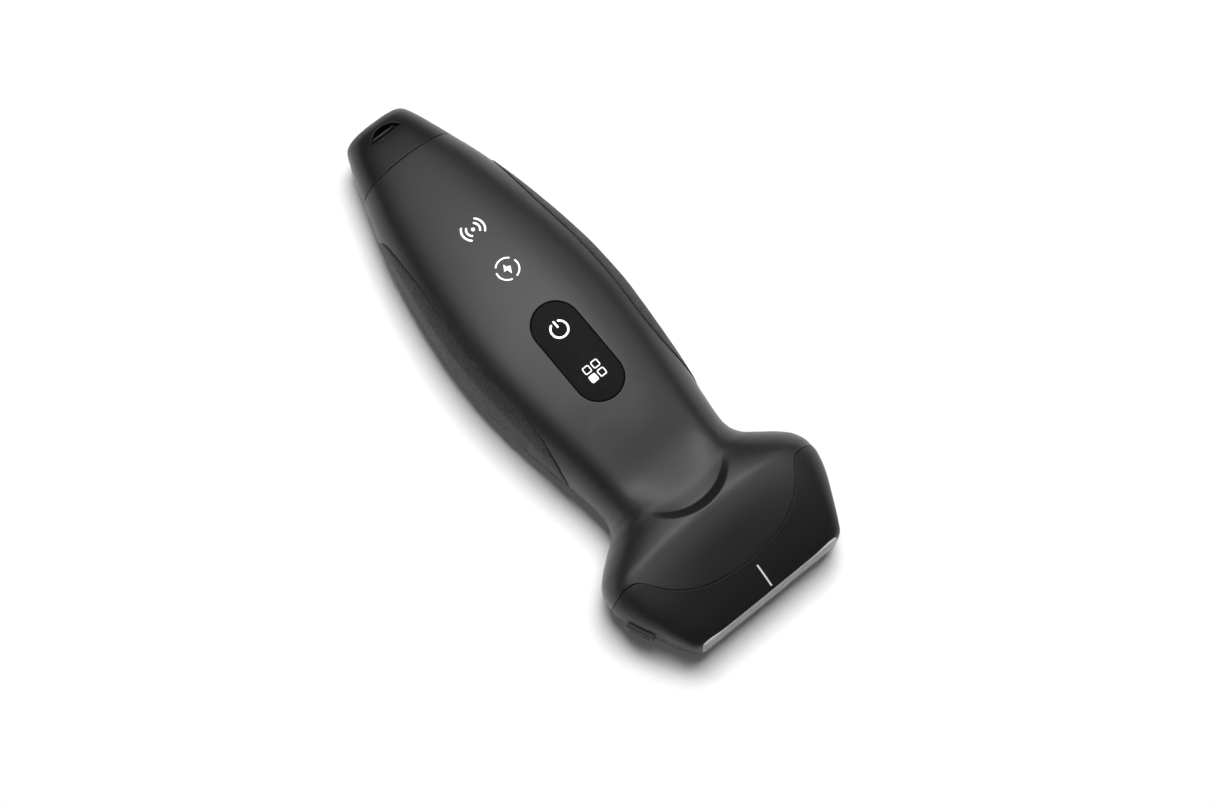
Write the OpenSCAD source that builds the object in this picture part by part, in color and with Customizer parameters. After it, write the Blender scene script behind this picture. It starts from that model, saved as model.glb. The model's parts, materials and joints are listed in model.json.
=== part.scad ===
// Wireless handheld ultrasound probe: moulded housing, side grips, keypad and what they hold.
// X runs from the tail to the lens, Z up through the keypad, the belly rests on Z = 0.

/* [Housing] */
// Overall length, tail end to lens
length = 158.3; // [150:0.1:175]
// Width of the blunt tail end
tail_w = 14; // [12:0.5:16]
// Width at the tail cap's seam
cap_w = 29.2; // [27:0.2:31]
// Largest width of the handle
handle_w = 48.7; // [46:0.1:51]
// Width at the neck
neck_w = 38.5; // [37:0.5:41]
// Largest width of the head
head_w = 65; // [61:0.5:68]
// Width at the front of the nose
nose_w = 46.2; // [45:0.1:48]
// Length of the tail cap
cap_l = 15; // [14.5:0.5:17]
// Distance from the tail to the widest point of the handle
handle_at = 72; // [70:1:75]
// Distance from the lens back to the neck
neck_back = 41.3; // [40.3:0.1:42.3]
// Distance from the lens back to the widest point of the head
head_back = 21.3; // [20.3:0.1:22.3]
// Distance from the lens back to the crest of the head
crest_back = 24.8; // [24.3:0.1:25.3]
// Wall thickness of the mouldings
wall = 2.2; // [1.8:0.1:2.4]
// Gap left open along each seam
seam_gap = 0.15; // [0.1:0.05:0.3]

/* [Heights] */
// Height of the widest line, where the shells part
part_z = 9; // [8.5:0.1:9.5]
// Top of the blunt tail end
tail_top = 13.5; // [13:0.1:14.5]
// Top of the housing at the tail cap's seam
cap_top = 21.8; // [21:0.1:23]
// Highest point of the handle
handle_top = 27; // [26:0.1:28]
// Top of the neck beside the thumb scoop
neck_top = 23.6; // [23:0.1:24.2]
// Top of the head's crest
head_top = 25.2; // [24.6:0.1:26]
// Top of the front face
nose_top = 14.5; // [14:0.1:15.5]
// Bottom of the blunt tail end
tail_bottom = 8; // [7:0.1:8.2]
// Bottom at the tail cap's seam
cap_bottom = 1.6; // [1.2:0.1:2]
// Bottom of the neck
neck_bottom = 1.6; // [1:0.1:2]
// Bottom of the head
head_bottom = 0.5; // [0.3:0.1:1]
// Bottom of the front face
nose_bottom = 4.2; // [3.8:0.1:4.8]
// How much the flat of the belly cuts off the curve
belly_cut = 0.4; // [0.3:0.05:0.6]

/* [Thumb scoop] */
// Depth of the scoop at its end wall
scoop_depth = 2.2; // [1.6:0.1:2.6]
// Length over which the scoop fades towards the keypad
scoop_l = 28; // [24:1:30]
// Half width of the scoop
scoop_half = 12.5; // [12:0.1:13]
// Run of the curved end wall
scoop_wall = 2.9; // [2.4:0.1:3.4]
// Radius of the crescent that the end wall follows in plan
crescent_r = 14.7; // [14:0.1:17]

/* [Side grips] */
// Distance from the tail to the grip's rear tip
grip_start = 25.2; // [24:0.2:27]
// Length of each grip
grip_l = 80.3; // [78:0.5:84]
// Thickness of the rubber
grip_t = 1.3; // [1.1:0.1:1.4]
// How far the rubber stands proud
grip_proud = 0.15; // [0:0.05:0.3]
// Length of the slot under the grip's front end
slot_l = 12.5; // [10:0.5:13]
// Height of that slot
slot_h = 1.5; // [1:0.1:1.8]
// Depth of that slot
slot_deep = 1.2; // [1:0.1:1.6]

/* [Keypad] */
// Share of the way from the tail cap's seam to the neck at which the keypad's centre lies
keypad_share = 0.672; // [0.66:0.002:0.684]
// Length of the keypad
keypad_l = 29.1; // [28:0.1:30]
// Width of the keypad
keypad_w = 12.8; // [12.4:0.1:13.4]
// Thickness of the keypad plate
keypad_t = 1.6; // [1.4:0.1:1.8]
// How far the keypad lies below the housing's surface
keypad_drop = 0.15; // [0.1:0.05:0.3]
// Spacing of the two keys
key_pitch = 13.6; // [13:0.1:14]
// Radius of the power key
power_key_r = 4.9; // [4.4:0.1:5]
// Radius of the mode key
mode_key_r = 5.4; // [5:0.1:5.4]
// Clearance round a key
key_gap = 0.15; // [0.1:0.05:0.2]
// Travel of a key
key_travel = 0.4; // [0.3:0.05:0.45]
// Rim by which a key's flange is wider than its cap
flange_rim = 0.6; // [0.5:0.1:0.7]
// Thickness of a key's flange
flange_t = 0.7; // [0.6:0.1:0.9]
// Radius of a key's stem
stem_r = 1.6; // [1.2:0.1:2]

/* [Signal lights] */
// Share of the way from the tail cap's seam to the neck at which the wireless light lies
signal_share = 0.268; // [0.26:0.001:0.276]
// Share of the way from the tail cap's seam to the neck at which the charge light lies
charge_share = 0.403; // [0.398:0.001:0.41]
// Radius of a light guide's head
guide_r = 3.7; // [3.4:0.1:3.8]
// Skin left over a light guide
guide_skin = 0.7; // [0.5:0.1:1]

/* [Hidden] */

// Ends and stations along X
half_l = length / 2;
tail_x = -half_l;
cap_x = tail_x + cap_l;
handle_x = tail_x + handle_at;
neck_x = half_l - neck_back;
crest_x = half_l - crest_back;
head_x = half_l - head_back;
lens_bulge = 0.5;
front_x = half_l - lens_bulge;
big = 2 * length; // overrun of the cuts that go right through
eps = 0.01; // overlap that makes joined shapes one

// Share of the way along a stretch, and share of the change in width or height there
tail_width_shares = [[0, 0], [0.06, 0.3], [0.23, 0.46], [0.67, 0.78], [1, 1]];
handle_width_shares = [[0, 0], [0.16, 0.3], [0.4, 0.625], [0.65, 0.872], [0.825, 0.975], [1, 1]];
neck_width_shares = [[0, 0], [0.22, 0.118], [0.44, 0.343], [0.67, 0.637], [0.83, 0.853], [1, 1]];
head_width_shares = [[0, 0], [0.12, 0.03], [0.26, 0.15], [0.4, 0.41], [0.55, 0.7], [0.7, 0.9],
    [0.85, 0.985], [1, 1]];
nose_width_shares = [[0, 0], [0.14, 0.064], [0.32, 0.213], [0.55, 0.468], [0.78, 0.734], [1, 1]];
tail_top_shares = [[0, 0], [0.033, 0.3], [0.1, 0.47], [0.23, 0.64], [0.5, 0.82], [1, 1]];
handle_top_shares = [[0, 0], [0.22, 0.365], [0.48, 0.69], [0.75, 0.904], [1, 1]];
neck_top_shares = [[0, 0], [0.43, 0.206], [0.77, 0.647], [1, 1]];
crest_top_shares = [[0, 0], [0.5, 0.2], [0.8, 0.75], [1, 1]];
nose_top_shares = [[0, 0], [0.12, 0.06], [0.24, 0.15], [0.44, 0.34], [0.64, 0.55], [0.84, 0.775],
    [0.95, 0.92], [1, 1]];
tail_bottom_shares = [[0, 0], [0.033, 0.3], [0.1, 0.48], [0.23, 0.66], [0.5, 0.84], [1, 1]];
belly_shares = [[0, 0], [0.35, 1], [0.8, 1], [1, 1]];
neck_bottom_shares = [[0, 0], [0.45, 0.1], [0.8, 0.7], [1, 1]];
ends_shares = [[0, 0], [0.5, 0.5], [1, 1]];
nose_bottom_shares = [[0, 0], [0.3, 0.12], [0.6, 0.42], [0.9, 0.84], [1, 1]];

function mix(a, b, s) = a + (b - a) * s;
function seg(tab, u, i = 0) = i >= len(tab) - 2 || u < tab[i + 1][0] ? i : seg(tab, u, i + 1);
function rise(tab, i) = (tab[i + 1][1] - tab[i][1]) / (tab[i + 1][0] - tab[i][0]);
// Slope at a knot of a table, level at its peaks and at its ends
function knot_slope(tab, i) = i == 0 || i == len(tab) - 1 ? 0
    : let (a = rise(tab, i - 1), b = rise(tab, i)) a * b <= 0 ? 0 : 2 * a * b / (a + b);
// The smooth curve through a table, with the given slopes at its two ends
function smooth(tab, u, first = 0, last = 0) = let (
    i = seg(tab, u), h = tab[i + 1][0] - tab[i][0], s = (u - tab[i][0]) / h,
    m = i == 0 ? first : knot_slope(tab, i),
    n = i == len(tab) - 2 ? last : knot_slope(tab, i + 1))
    tab[i][1] * (1 + 2 * s) * (1 - s) * (1 - s) + m * h * s * (1 - s) * (1 - s)
    + tab[i + 1][1] * s * s * (3 - 2 * s) + n * h * s * s * (s - 1);
function along(x, a, b) = min(1, max(0, (x - a) / (b - a)));

tail_end_slope = 0.6; // share slope with which the tail's outline meets the seam
tail_turn = 8; // share slope of the rounded tail end
nose_end_slope = 1.15; // share slope of the nose's sides at the front
nose_turn = 2; // share slope of the rounded front edge
nose_under_slope = 1.3; // share slope of the nose's underside at the front
handle_start_slope = 2; // share slope with which the handle leaves the cap's seam

// Half width, top and bottom of the housing at X
function half_at(x) =
    x < cap_x ? mix(tail_w, cap_w, smooth(tail_width_shares, along(x, tail_x, cap_x), tail_turn,
        tail_end_slope)) / 2
    : x < handle_x ? mix(cap_w, handle_w, smooth(handle_width_shares, along(x, cap_x, handle_x),
        handle_start_slope)) / 2
    : x < neck_x ? mix(handle_w, neck_w, smooth(neck_width_shares, along(x, handle_x, neck_x))) / 2
    : x < head_x ? mix(neck_w, head_w, smooth(head_width_shares, along(x, neck_x, head_x))) / 2
    : mix(head_w, nose_w, smooth(nose_width_shares, along(x, head_x, front_x), 0, nose_end_slope)) / 2;
function top_at(x) =
    x < cap_x ? mix(tail_top, cap_top, smooth(tail_top_shares, along(x, tail_x, cap_x), tail_turn,
        tail_end_slope / 2))
    : x < handle_x ? mix(cap_top, handle_top, smooth(handle_top_shares, along(x, cap_x, handle_x),
        handle_start_slope))
    : x < neck_x ? mix(handle_top, neck_top, smooth(neck_top_shares, along(x, handle_x, neck_x)))
    : x < crest_x ? mix(neck_top, head_top, smooth(crest_top_shares, along(x, neck_x, crest_x)))
    : mix(head_top, nose_top, smooth(nose_top_shares, along(x, crest_x, front_x), 0, nose_turn));
function bottom_at(x) =
    x < cap_x ? mix(tail_bottom, cap_bottom, smooth(tail_bottom_shares, along(x, tail_x, cap_x),
        tail_turn, tail_end_slope / 2))
    : x < handle_x ? mix(cap_bottom, -belly_cut, smooth(belly_shares, along(x, cap_x, handle_x),
        handle_start_slope))
    : x < neck_x ? mix(-belly_cut, neck_bottom, smooth(neck_bottom_shares, along(x, handle_x, neck_x)))
    : x < crest_x ? mix(neck_bottom, head_bottom, smooth(ends_shares, along(x, neck_x, crest_x)))
    : mix(head_bottom, nose_bottom, smooth(nose_bottom_shares, along(x, crest_x, front_x), 0,
        nose_under_slope));
// Squareness of the upper and lower halves of a cross section
upper_square_shares = [[0, 2.7], [0.09, 2.35], [0.3, 2.15], [0.8, 2.25], [0.88, 2.7], [0.95, 3.8],
    [1, 4.6]];
lower_square_shares = [[0, 2.7], [0.09, 2.8], [0.8, 2.8], [0.9, 3.2], [1, 4.6]];
function upper_square(x) = smooth(upper_square_shares, along(x, tail_x, front_x));
function lower_square(x) = smooth(lower_square_shares, along(x, tail_x, front_x));

// Thumb scoop: how far the housing's surface is sunk at a point in plan
function sag(y) = crescent_r - sqrt(pow(crescent_r, 2) - pow(min(abs(y), scoop_half), 2));
function ease(v) = v * v * (3 - 2 * v);
function scoop(x, y) = let (s = crest_x - eps - sag(y) - x)
    s <= 0 || abs(y) >= scoop_half ? 0
    : scoop_depth * pow(1 - pow(abs(y) / scoop_half, 3), 2)
        * (s < scoop_wall ? ease(s / scoop_wall) : 1 - ease(min(1, (s - scoop_wall) / scoop_l)));
// Height of the housing's upper surface at a point in plan
function skin_z(x, y) = let (n = upper_square(x), q = min(1, abs(y) / half_at(x)))
    part_z + (top_at(x) - part_z) * pow(1 - pow(q, n), 1 / n) - scoop(x, y);
// Height of the housing's lower surface at a point in plan
function under_z(x, y) = let (n = lower_square(x), q = min(1, abs(y) / half_at(x)))
    part_z - (part_z - bottom_at(x)) * pow(1 - pow(q, n), 1 / n);

// One point of the housing's surface: a station, an angle round the section and an inset.
// Stations near the head's crest bend with the crescent.
function bend(u) = u < neck_x ? 0 : u < crest_x - scoop_wall ? along(u, neck_x, crest_x - scoop_wall)
    : u < crest_x + eps ? 1 : 1 - along(u, crest_x, crest_x + scoop_wall * 2);
function power(c, n) = sign(c) * pow(abs(c), 2 / n);
function surface_point(u, a, inset) = let (
    c = cos(a), s = sin(a), up = s >= 0,
    y0 = half_at(u) * power(c, upper_square(u)),
    x1 = up ? u - bend(u) * sag(y0) : u,
    x = up ? u - bend(u) * sag(half_at(x1) * power(c, upper_square(x1))) : u,
    n = up ? upper_square(x) : lower_square(x),
    y = (half_at(x) - inset) * power(c, n),
    z = up ? part_z + (top_at(x) - inset - part_z) * pow(s, 2 / n) - scoop(x, y)
        : part_z - (part_z - bottom_at(x) - inset) * pow(-s, 2 / n)) [x, y, z];

// A closed solid through a list of rings that have equal counts of points
module loft(rings) {
    m = len(rings[0]);
    count = len(rings);
    points = [for (r = rings) each r];
    sides = [for (i = [0 : count - 2], j = [0 : m - 1]) let (k = (j + 1) % m)
        each [[i * m + j, (i + 1) * m + j, i * m + k], [i * m + k, (i + 1) * m + j, (i + 1) * m + k]]];
    polyhedron(points, concat(sides, [[for (j = [0 : m - 1]) j]],
        [[for (j = [m - 1 : -1 : 0]) (count - 1) * m + j]]), convexity = 6);
}
function evenly(a, b, n) = [for (i = [0 : n]) mix(a, b, i / n)];
ring_n = 44;
tail_stations_shares = [0, 0.02, 0.07, 0.17, 0.33, 0.6, 0.85];
function ring(u, inset) = [for (i = [0 : ring_n - 1]) surface_point(u, 360 * i / ring_n, inset)];
stations = concat(
    [for (s = tail_stations_shares) mix(tail_x, cap_x, s)],
    evenly(cap_x, neck_x, 15),
    [for (s = [0.17, 0.34, 0.48]) mix(neck_x, crest_x, s)],
    evenly(crest_x - scoop_wall * 1.6, crest_x, 6),
    [for (s = [0.06, 0.16, 0.28, 0.42, 0.56, 0.7, 0.82, 0.91, 0.96, 1]) mix(crest_x, front_x, s)]);
module housing_solid() loft([for (u = stations) ring(u, 0)]);
module housing_core(a, b, n, inset) loft([for (u = evenly(a, b, n)) ring(u, inset)]);
module shell_core(inset) loft([for (u = concat(evenly(cap_x - wall, neck_x, 16),
    [for (x = evenly(neck_x, seam_front_x + wall, 13)) if (x > neck_x) x])) ring(u, inset)]);

// Plan line of the seam between the shells and the nose: share of the head's half width, and
// share of the way from the side of the head to the front of the bell
nose_seam_side = 21.3; // from the lens back to the seam at the sides
nose_seam_front = 8.9; // from the lens back to the seam on the centre line
seam_side_x = half_l - nose_seam_side;
seam_front_x = half_l - nose_seam_front;
nose_seam_shares = [[0, 1], [0.2, 0.96], [0.36, 0.87], [0.49, 0.72], [0.58, 0.56], [0.65, 0.38],
    [0.71, 0.16], [0.75, 0.03], [0.8, -0.06], [0.87, -0.09], [1, -0.05]];
function nose_seam(y) = mix(seam_side_x, seam_front_x,
    smooth(nose_seam_shares, min(1, abs(y) / (head_w / 2))));
seam_steps = 40;
module ahead_of_nose_seam(shift) translate([0, 0, -big / 2]) linear_extrude(big)
    polygon(concat([[half_l + wall, -head_w], [half_l + wall, head_w]],
        [[seam_side_x + shift, head_w]],
        [for (y = evenly(head_w / 2, -head_w / 2, seam_steps)) [nose_seam(y) + shift, y]],
        [[seam_side_x + shift, -head_w]]));
module slab_x(a, b) translate([a, -big / 2, -big / 2]) cube([b - a, big, big]);
module slab_z(a, b) translate([-big / 2, -big / 2, a]) cube([big, big, b - a]);

// Places that several pieces share
keypad_x = mix(cap_x, neck_x, keypad_share);
power_x = keypad_x - key_pitch / 2;
mode_x = keypad_x + key_pitch / 2;
signal_x = mix(cap_x, neck_x, signal_share);
charge_x = mix(cap_x, neck_x, charge_share);
fit = 0.2; // clearance between fitted pieces

// Side grips: share of the way along and share of the skin's height that the rubber reaches
grip_upper_shares = [[0, 0], [0.04, 0.38], [0.14, 0.515], [0.25, 0.583], [0.5, 0.605], [0.72, 0.62],
    [0.84, 0.55], [0.91, 0.43], [0.96, 0.28], [1, 0]];
grip_lower_shares = [[0, 0], [0.04, 0.36], [0.14, 0.54], [0.5, 0.6], [0.8, 0.53], [0.92, 0.38],
    [1, 0]];
grip_x = tail_x + grip_start;
grip_steps = 24;
arc_steps = 4;
tip_share = 0.004;
tip_turns = [20, -12]; // share slopes of the rounded rear and front tips
grip_margin = 0.12;
// Angle round the section at which the skin reaches a share of its height
function height_angle(h, n) = asin(pow(min(1, h), n / 2));
module grip_form(outset, inset, margin) {
    function tip(v) = mix(tip_share, 1 - tip_share, v);
    rings = [for (i = [0 : grip_steps]) let (
        v = tip((1 - cos(180 * i / grip_steps)) / 2),
        x = grip_x + grip_l * v + margin * (2 * v - 1),
        m = margin / (handle_top - part_z),
        up = height_angle(smooth(grip_upper_shares, v, tip_turns[0], tip_turns[1]) + m, upper_square(x)),
        low = height_angle(smooth(grip_lower_shares, v, tip_turns[0], tip_turns[1]) + m * 2,
            lower_square(x)),
        angles = concat(evenly(-low, 0, arc_steps), [for (a = evenly(0, up, arc_steps)) if (a > 0) a]),
        back = [for (j = [len(angles) - 1 : -1 : 0]) angles[j]])
        concat([for (a = angles) surface_point(x, a, -outset)],
            [for (a = back) surface_point(x, a, inset)])];
    loft(rings);
}
module mirrored_y() {
    children();
    mirror([0, 1, 0]) children();
}
module grip_slot() {
    slot_x = grip_x + grip_l - slot_l - wall / 2;
    slot_z = part_z - slot_h * 1.6;
    y = half_at(slot_x + slot_l / 2);
    turn = atan((half_at(slot_x + slot_l) - half_at(slot_x)) / slot_l);
    translate([slot_x + slot_l / 2, y, slot_z]) rotate([0, 0, turn])
        translate([-slot_l / 2, -slot_deep, 0]) cube([slot_l, slot_deep + wall, slot_h]);
}

// Inner layout, stacked up from the belly
seat_z = 2.7;
coil_t = 0.6;
ferrite_t = 0.6;
battery_l = 44;
battery_h = 7.8;
battery_corner = 2;
pad_t = 0.5;
frame_t = 1;
standoff_h = 3;
board_t = 1.2;
ferrite_z = seat_z + coil_t;
battery_z = ferrite_z + ferrite_t + fit;
pad_z = battery_z + battery_h;
frame_z = pad_z + pad_t;
board_z = frame_z + frame_t + standoff_h;
board_top = board_z + board_t;
frame_edge = 1.8; // clearance between the frame and the shell wall
frame_ends = [4.7, 1.5]; // from the cap's seam, and from the neck
frame_from = cap_x + frame_ends[0];
frame_to = neck_x - frame_ends[1];
arm_l = 10; // arm that carries the antenna inside the tail cap
arm_w = 12;
board_ends = [6.8, 7.5]; // from the wireless light, and from the neck
board_from = signal_x - board_ends[0];
board_to = neck_x - board_ends[1];
board_w = 26;
board_inset = 3; // corner of the board to its screw, both ways
post_r = 2.4;
boss_r = 3;
standoff_r = 2;
shaft_r = 1;
thread_gap = 0.02; // between a screw and its threaded hole
thread_r = shaft_r + thread_gap;
head_r = 1.9;
head_h = 1.3;
screw_l = 5;
shell_screw_l = 9.5;
shell_head_z = 3.2;
shell_screw_tip = shell_head_z + head_h + shell_screw_l;
boss_cover = 2; // left over the tip of a shell screw
shell_boss_top = shell_screw_tip + boss_cover;
shell_screw_ends = [30.5, 29.5]; // from the cap's seam, and from the neck
shell_screw_xs = [cap_x + shell_screw_ends[0], neck_x - shell_screw_ends[1]];
boss_in = 6.2; // from the skin in to a shell screw
function boss_y(x) = half_at(x) - boss_in;
battery_w = 2 * (boss_y(shell_screw_xs[0]) - boss_r - fit); // the battery lies between the bosses
coil_r = battery_w / 2;
coil_turns_w = 6; // width of the coil's winding
seat_rim = 1; // raised seat left round the coil
seat_r = coil_r + seat_rim;
frame_screw_ends = [7.5, 4.5]; // from the cap's seam, and from the neck
frame_screw_ys = [8.5, 10];
battery_gap = 2.6; // from the rear posts to the battery
battery_x = cap_x + frame_screw_ends[0] + post_r + battery_gap;
coil_x = battery_x + battery_l / 2;
frame_screws_at = [[cap_x + frame_screw_ends[0], frame_screw_ys[0]],
    [neck_x - frame_screw_ends[1], frame_screw_ys[1]]];
board_screws_at = [[board_from + board_inset, board_w / 2 - board_inset],
    [board_to - board_inset, board_w / 2 - board_inset]];
front_board_lift = 0.6; // above the frame's seats
front_board_z = frame_z + front_board_lift;
front_board_top = front_board_z + board_t;
front_board_ends = [4.5, 5.9]; // from the neck, and from the nose seam
front_board_from = neck_x + front_board_ends[0];
front_board_to = seam_front_x - front_board_ends[1];
front_board_w = 30;
front_inset = 4;
front_screws_at = [[front_board_from + front_inset, front_board_w / 2 - front_inset],
    [front_board_to - front_inset, front_board_w / 2 - front_inset]];

// Keypad and keys
keypad_seat = min(skin_z(keypad_x - keypad_l / 2, 0), skin_z(keypad_x + keypad_l / 2, 0),
    skin_z(keypad_x, keypad_w / 2)) - keypad_drop - keypad_t;
rest_gap = 0.1; // between a flange and what it meets at the ends of its travel
flange_z = keypad_seat + key_travel + rest_gap;
flange_top = flange_z + flange_t;
ledge_w = 1;
ledge_t = 1.2;
well_wall = 1.4;
stem_l = 1.3;
stem_z = flange_z - stem_l;
switch_w = 6;
plunger_r = 1.75;
plunger_h = 0.6;
plunger_top = stem_z - key_travel - rest_gap / 2;
switch_h = plunger_top - plunger_h - board_top; // the switches fill the height between board and keys
patch_steps = 12;

// Light guides and lamps
led_w = 2;
led_h = 0.8;
guide_stem_r = 1.5;
guide_head_h = 2;
function guide_top(x) = min(skin_z(x - guide_r, 0), skin_z(x, guide_r)) - guide_skin;

// Array in the nose
stack_z = (nose_top + nose_bottom) / 2;
stack_h = 6.4;
stack_w = 39;
matching_t = 1;
piezo_t = 0.6;
lens_edge = 0.15; // housing left above and below the lens
lens_side = 1.7; // housing left at each end of the lens
lens_w = nose_w - 2 * lens_side;
lens_h = nose_top - nose_bottom - 2 * lens_edge;
lens_square = 6; // squareness of the lens's outline
lens_sides = 96;
lens_r = (pow(lens_h / 2, 2) + pow(lens_bulge, 2)) / (2 * lens_bulge);
piezo_x = front_x - matching_t;
backing_x = piezo_x - piezo_t;
backing_l = 10.2;
tongue_t = 1.2;
tongue_l = 3;
spigot_l = 4;
groove_in = 0.6;
gasket_from = 1;
gasket_w = 1.2;
gasket_squeeze = 0.08;

// Lanyard recess in the tail cap
recess_r = 5.3;
recess_tail = 3.7; // from the tail to the recess's curved wall
recess_run = 3.4; // from that wall to where the slope leaves the skin
recess_deep = 3;
lanyard_slit = 0.8; // width of the slit along the curved wall
ledge_l = 0.5; // flat between the slit and the slope

module pill(l, w, h) for (s = [-1, 1]) {
    translate([s * (l - w) / 2, 0, 0]) cylinder(r = w / 2, h = h, $fn = 64);
    if (s > 0) translate([-(l - w) / 2, -w / 2, 0]) cube([l - w, w, h]);
}
module rounded_block(l, w, h, r) {
    translate([r, -w / 2, 0]) cube([l - 2 * r, w, h]);
    translate([0, -w / 2 + r, 0]) cube([l, w - 2 * r, h]);
    for (x = [r, l - r], y = [-w / 2 + r, w / 2 - r])
        translate([x, y, 0]) cylinder(r = r, h = h, $fn = 32);
}
module both_sides(places) for (p = places, s = [-1, 1]) translate([p[0], s * p[1], 0]) children();
module screw(l) {
    cylinder(r = shaft_r, h = l + eps, $fn = 32);
    translate([0, 0, l]) difference() {
        cylinder(r = head_r, h = head_h, $fn = 32);
        translate([0, 0, head_h / 2]) cylinder(r = head_r / 2, h = head_h, $fn = 6);
    }
}
// A block whose top follows the housing's surface over a rectangle in plan
module skin_patch(a, b, half, z, drop) {
    rings = [for (x = evenly(a, b, patch_steps)) concat(
        [[x, half, z], [x, -half, z]],
        [for (y = evenly(-half, half, patch_steps)) [x, y, skin_z(x, y) - drop]])];
    loft([for (i = [patch_steps : -1 : 0]) rings[i]]);
}
module shell_blank(a, b) intersection() {
    difference() {
        housing_solid();
        shell_core(wall);
    }
    slab_x(cap_x + seam_gap / 2, half_l);
    slab_z(a, b);
}
module shell_cuts() {
    ahead_of_nose_seam(-seam_gap / 2);
    mirrored_y() {
        grip_form(wall, grip_t, grip_margin);
        grip_slot();
    }
}

module upper_shell() color([0.2, 0.2, 0.21]) difference() {
    union() {
        shell_blank(part_z + seam_gap / 2, handle_top + wall);
        intersection() {
            housing_solid();
            union() {
                translate([keypad_x, 0, keypad_seat - ledge_t])
                    pill(keypad_l + 2 * well_wall, keypad_w + 2 * well_wall, handle_top);
                for (x = shell_screw_xs) both_sides([[x, boss_y(x)]])
                    translate([0, 0, part_z + seam_gap / 2])
                        cylinder(r = boss_r, h = shell_boss_top - part_z, $fn = 32);
            }
        }
    }
    translate([keypad_x, 0, keypad_seat]) pill(keypad_l + fit, keypad_w + fit, handle_top);
    translate([keypad_x, 0, 0]) pill(keypad_l - 2 * ledge_w, keypad_w - 2 * ledge_w, handle_top);
    for (x = [signal_x, charge_x]) translate([x, 0, 0])
        cylinder(r = guide_r + fit / 2, h = guide_top(x) + fit / 2, $fn = 64);
    for (x = shell_screw_xs) both_sides([[x, boss_y(x)]])
        cylinder(r = thread_r, h = shell_screw_tip + fit, $fn = 32);
    shell_cuts();
}

module lower_shell() color([0.19, 0.19, 0.2]) difference() {
    union() {
        shell_blank(0, part_z - seam_gap / 2);
        intersection() {
            housing_solid();
            slab_z(0, part_z - seam_gap / 2);
            union() {
                translate([coil_x, 0, 0]) cylinder(r = seat_r, h = seat_z, $fn = 64);
                for (x = shell_screw_xs) both_sides([[x, boss_y(x)]])
                    cylinder(r = boss_r, h = part_z, $fn = 32);
                both_sides(frame_screws_at) cylinder(r = post_r, h = part_z, $fn = 32);
                both_sides(front_screws_at) cylinder(r = post_r, h = part_z, $fn = 32);
            }
        }
        both_sides(frame_screws_at) translate([0, 0, part_z / 2])
            cylinder(r = post_r, h = frame_z - part_z / 2, $fn = 32);
        both_sides(front_screws_at) translate([0, 0, part_z / 2])
            cylinder(r = post_r, h = front_board_z - part_z / 2, $fn = 32);
    }
    for (x = shell_screw_xs) both_sides([[x, boss_y(x)]]) {
        cylinder(r = shaft_r + fit / 2, h = part_z, $fn = 32);
        translate([0, 0, -wall]) cylinder(r = head_r + fit, h = shell_head_z + head_h + wall, $fn = 32);
    }
    both_sides(frame_screws_at) translate([0, 0, frame_z - screw_l])
        cylinder(r = thread_r, h = screw_l + wall, $fn = 32);
    both_sides(front_screws_at) translate([0, 0, front_board_z - screw_l])
        cylinder(r = thread_r, h = screw_l + wall, $fn = 32);
    shell_gasket_form();
    shell_cuts();
}

module lanyard_recess() {
    x = tail_x + recess_tail;
    slope_top = skin_z(x + recess_run, 0);
    slope_run = recess_run - lanyard_slit - ledge_l;
    intersection() {
        translate([x + recess_r, 0, -wall]) cylinder(r = recess_r, h = handle_top + wall, $fn = 96);
        union() {
            translate([x - wall, big / 2, 0]) rotate([90, 0, 0]) linear_extrude(big) polygon([
                [0, slope_top - recess_deep],
                [wall + lanyard_slit + ledge_l, slope_top - recess_deep],
                [wall + recess_run, slope_top],
                [wall + recess_run + slope_run, slope_top + recess_deep],
                [0, slope_top + recess_deep]]);
            slab_x(x - wall, x + lanyard_slit);
        }
    }
}
module tail_cap() color([0.14, 0.14, 0.15]) difference() {
    union() {
        intersection() {
            housing_solid();
            slab_x(tail_x - wall, cap_x - seam_gap / 2);
        }
        housing_core(cap_x - wall, cap_x + spigot_l, 4, wall + fit);
    }
    housing_core(cap_x - cap_l / 2, cap_x + spigot_l + wall, 8, wall + fit + tongue_t);
    lanyard_recess();
    tail_groove(groove_in);
}
module tail_groove(depth) difference() {
    slab_x(cap_x + gasket_from, cap_x + gasket_from + gasket_w);
    housing_core(cap_x, cap_x + spigot_l, 4, wall + fit + depth);
}
module tail_gasket() color([0.1, 0.1, 0.1]) intersection() {
    housing_core(cap_x - wall, cap_x + spigot_l, 4, wall + gasket_squeeze);
    tail_groove(groove_in - gasket_squeeze);
}

module stack_pocket()
    translate([backing_x - backing_l - fit, -stack_w / 2 - fit, stack_z - stack_h / 2 - fit])
    cube([backing_l + length, stack_w + 2 * fit, stack_h + 2 * fit]);
module nose_housing() color([0.12, 0.12, 0.13]) difference() {
    union() {
        intersection() {
            housing_solid();
            ahead_of_nose_seam(seam_gap / 2);
        }
        intersection() {
            shell_core(wall + fit);
            ahead_of_nose_seam(-tongue_l);
        }
    }
    housing_core(neck_x - wall, backing_x - backing_l, 22, wall + fit + tongue_t);
    stack_pocket();
    nose_groove(groove_in);
    ridge_place() ridge_block(ridge_sink + fit / 2, ridge_proud, fit / 4);
}
module nose_groove(depth) difference() {
    ahead_of_nose_seam(-gasket_from - gasket_w);
    ahead_of_nose_seam(-gasket_from);
    shell_core(wall + fit + depth);
}
module nose_gasket() color([0.1, 0.1, 0.1]) intersection() {
    shell_core(wall + gasket_squeeze);
    nose_groove(groove_in - gasket_squeeze);
}

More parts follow.
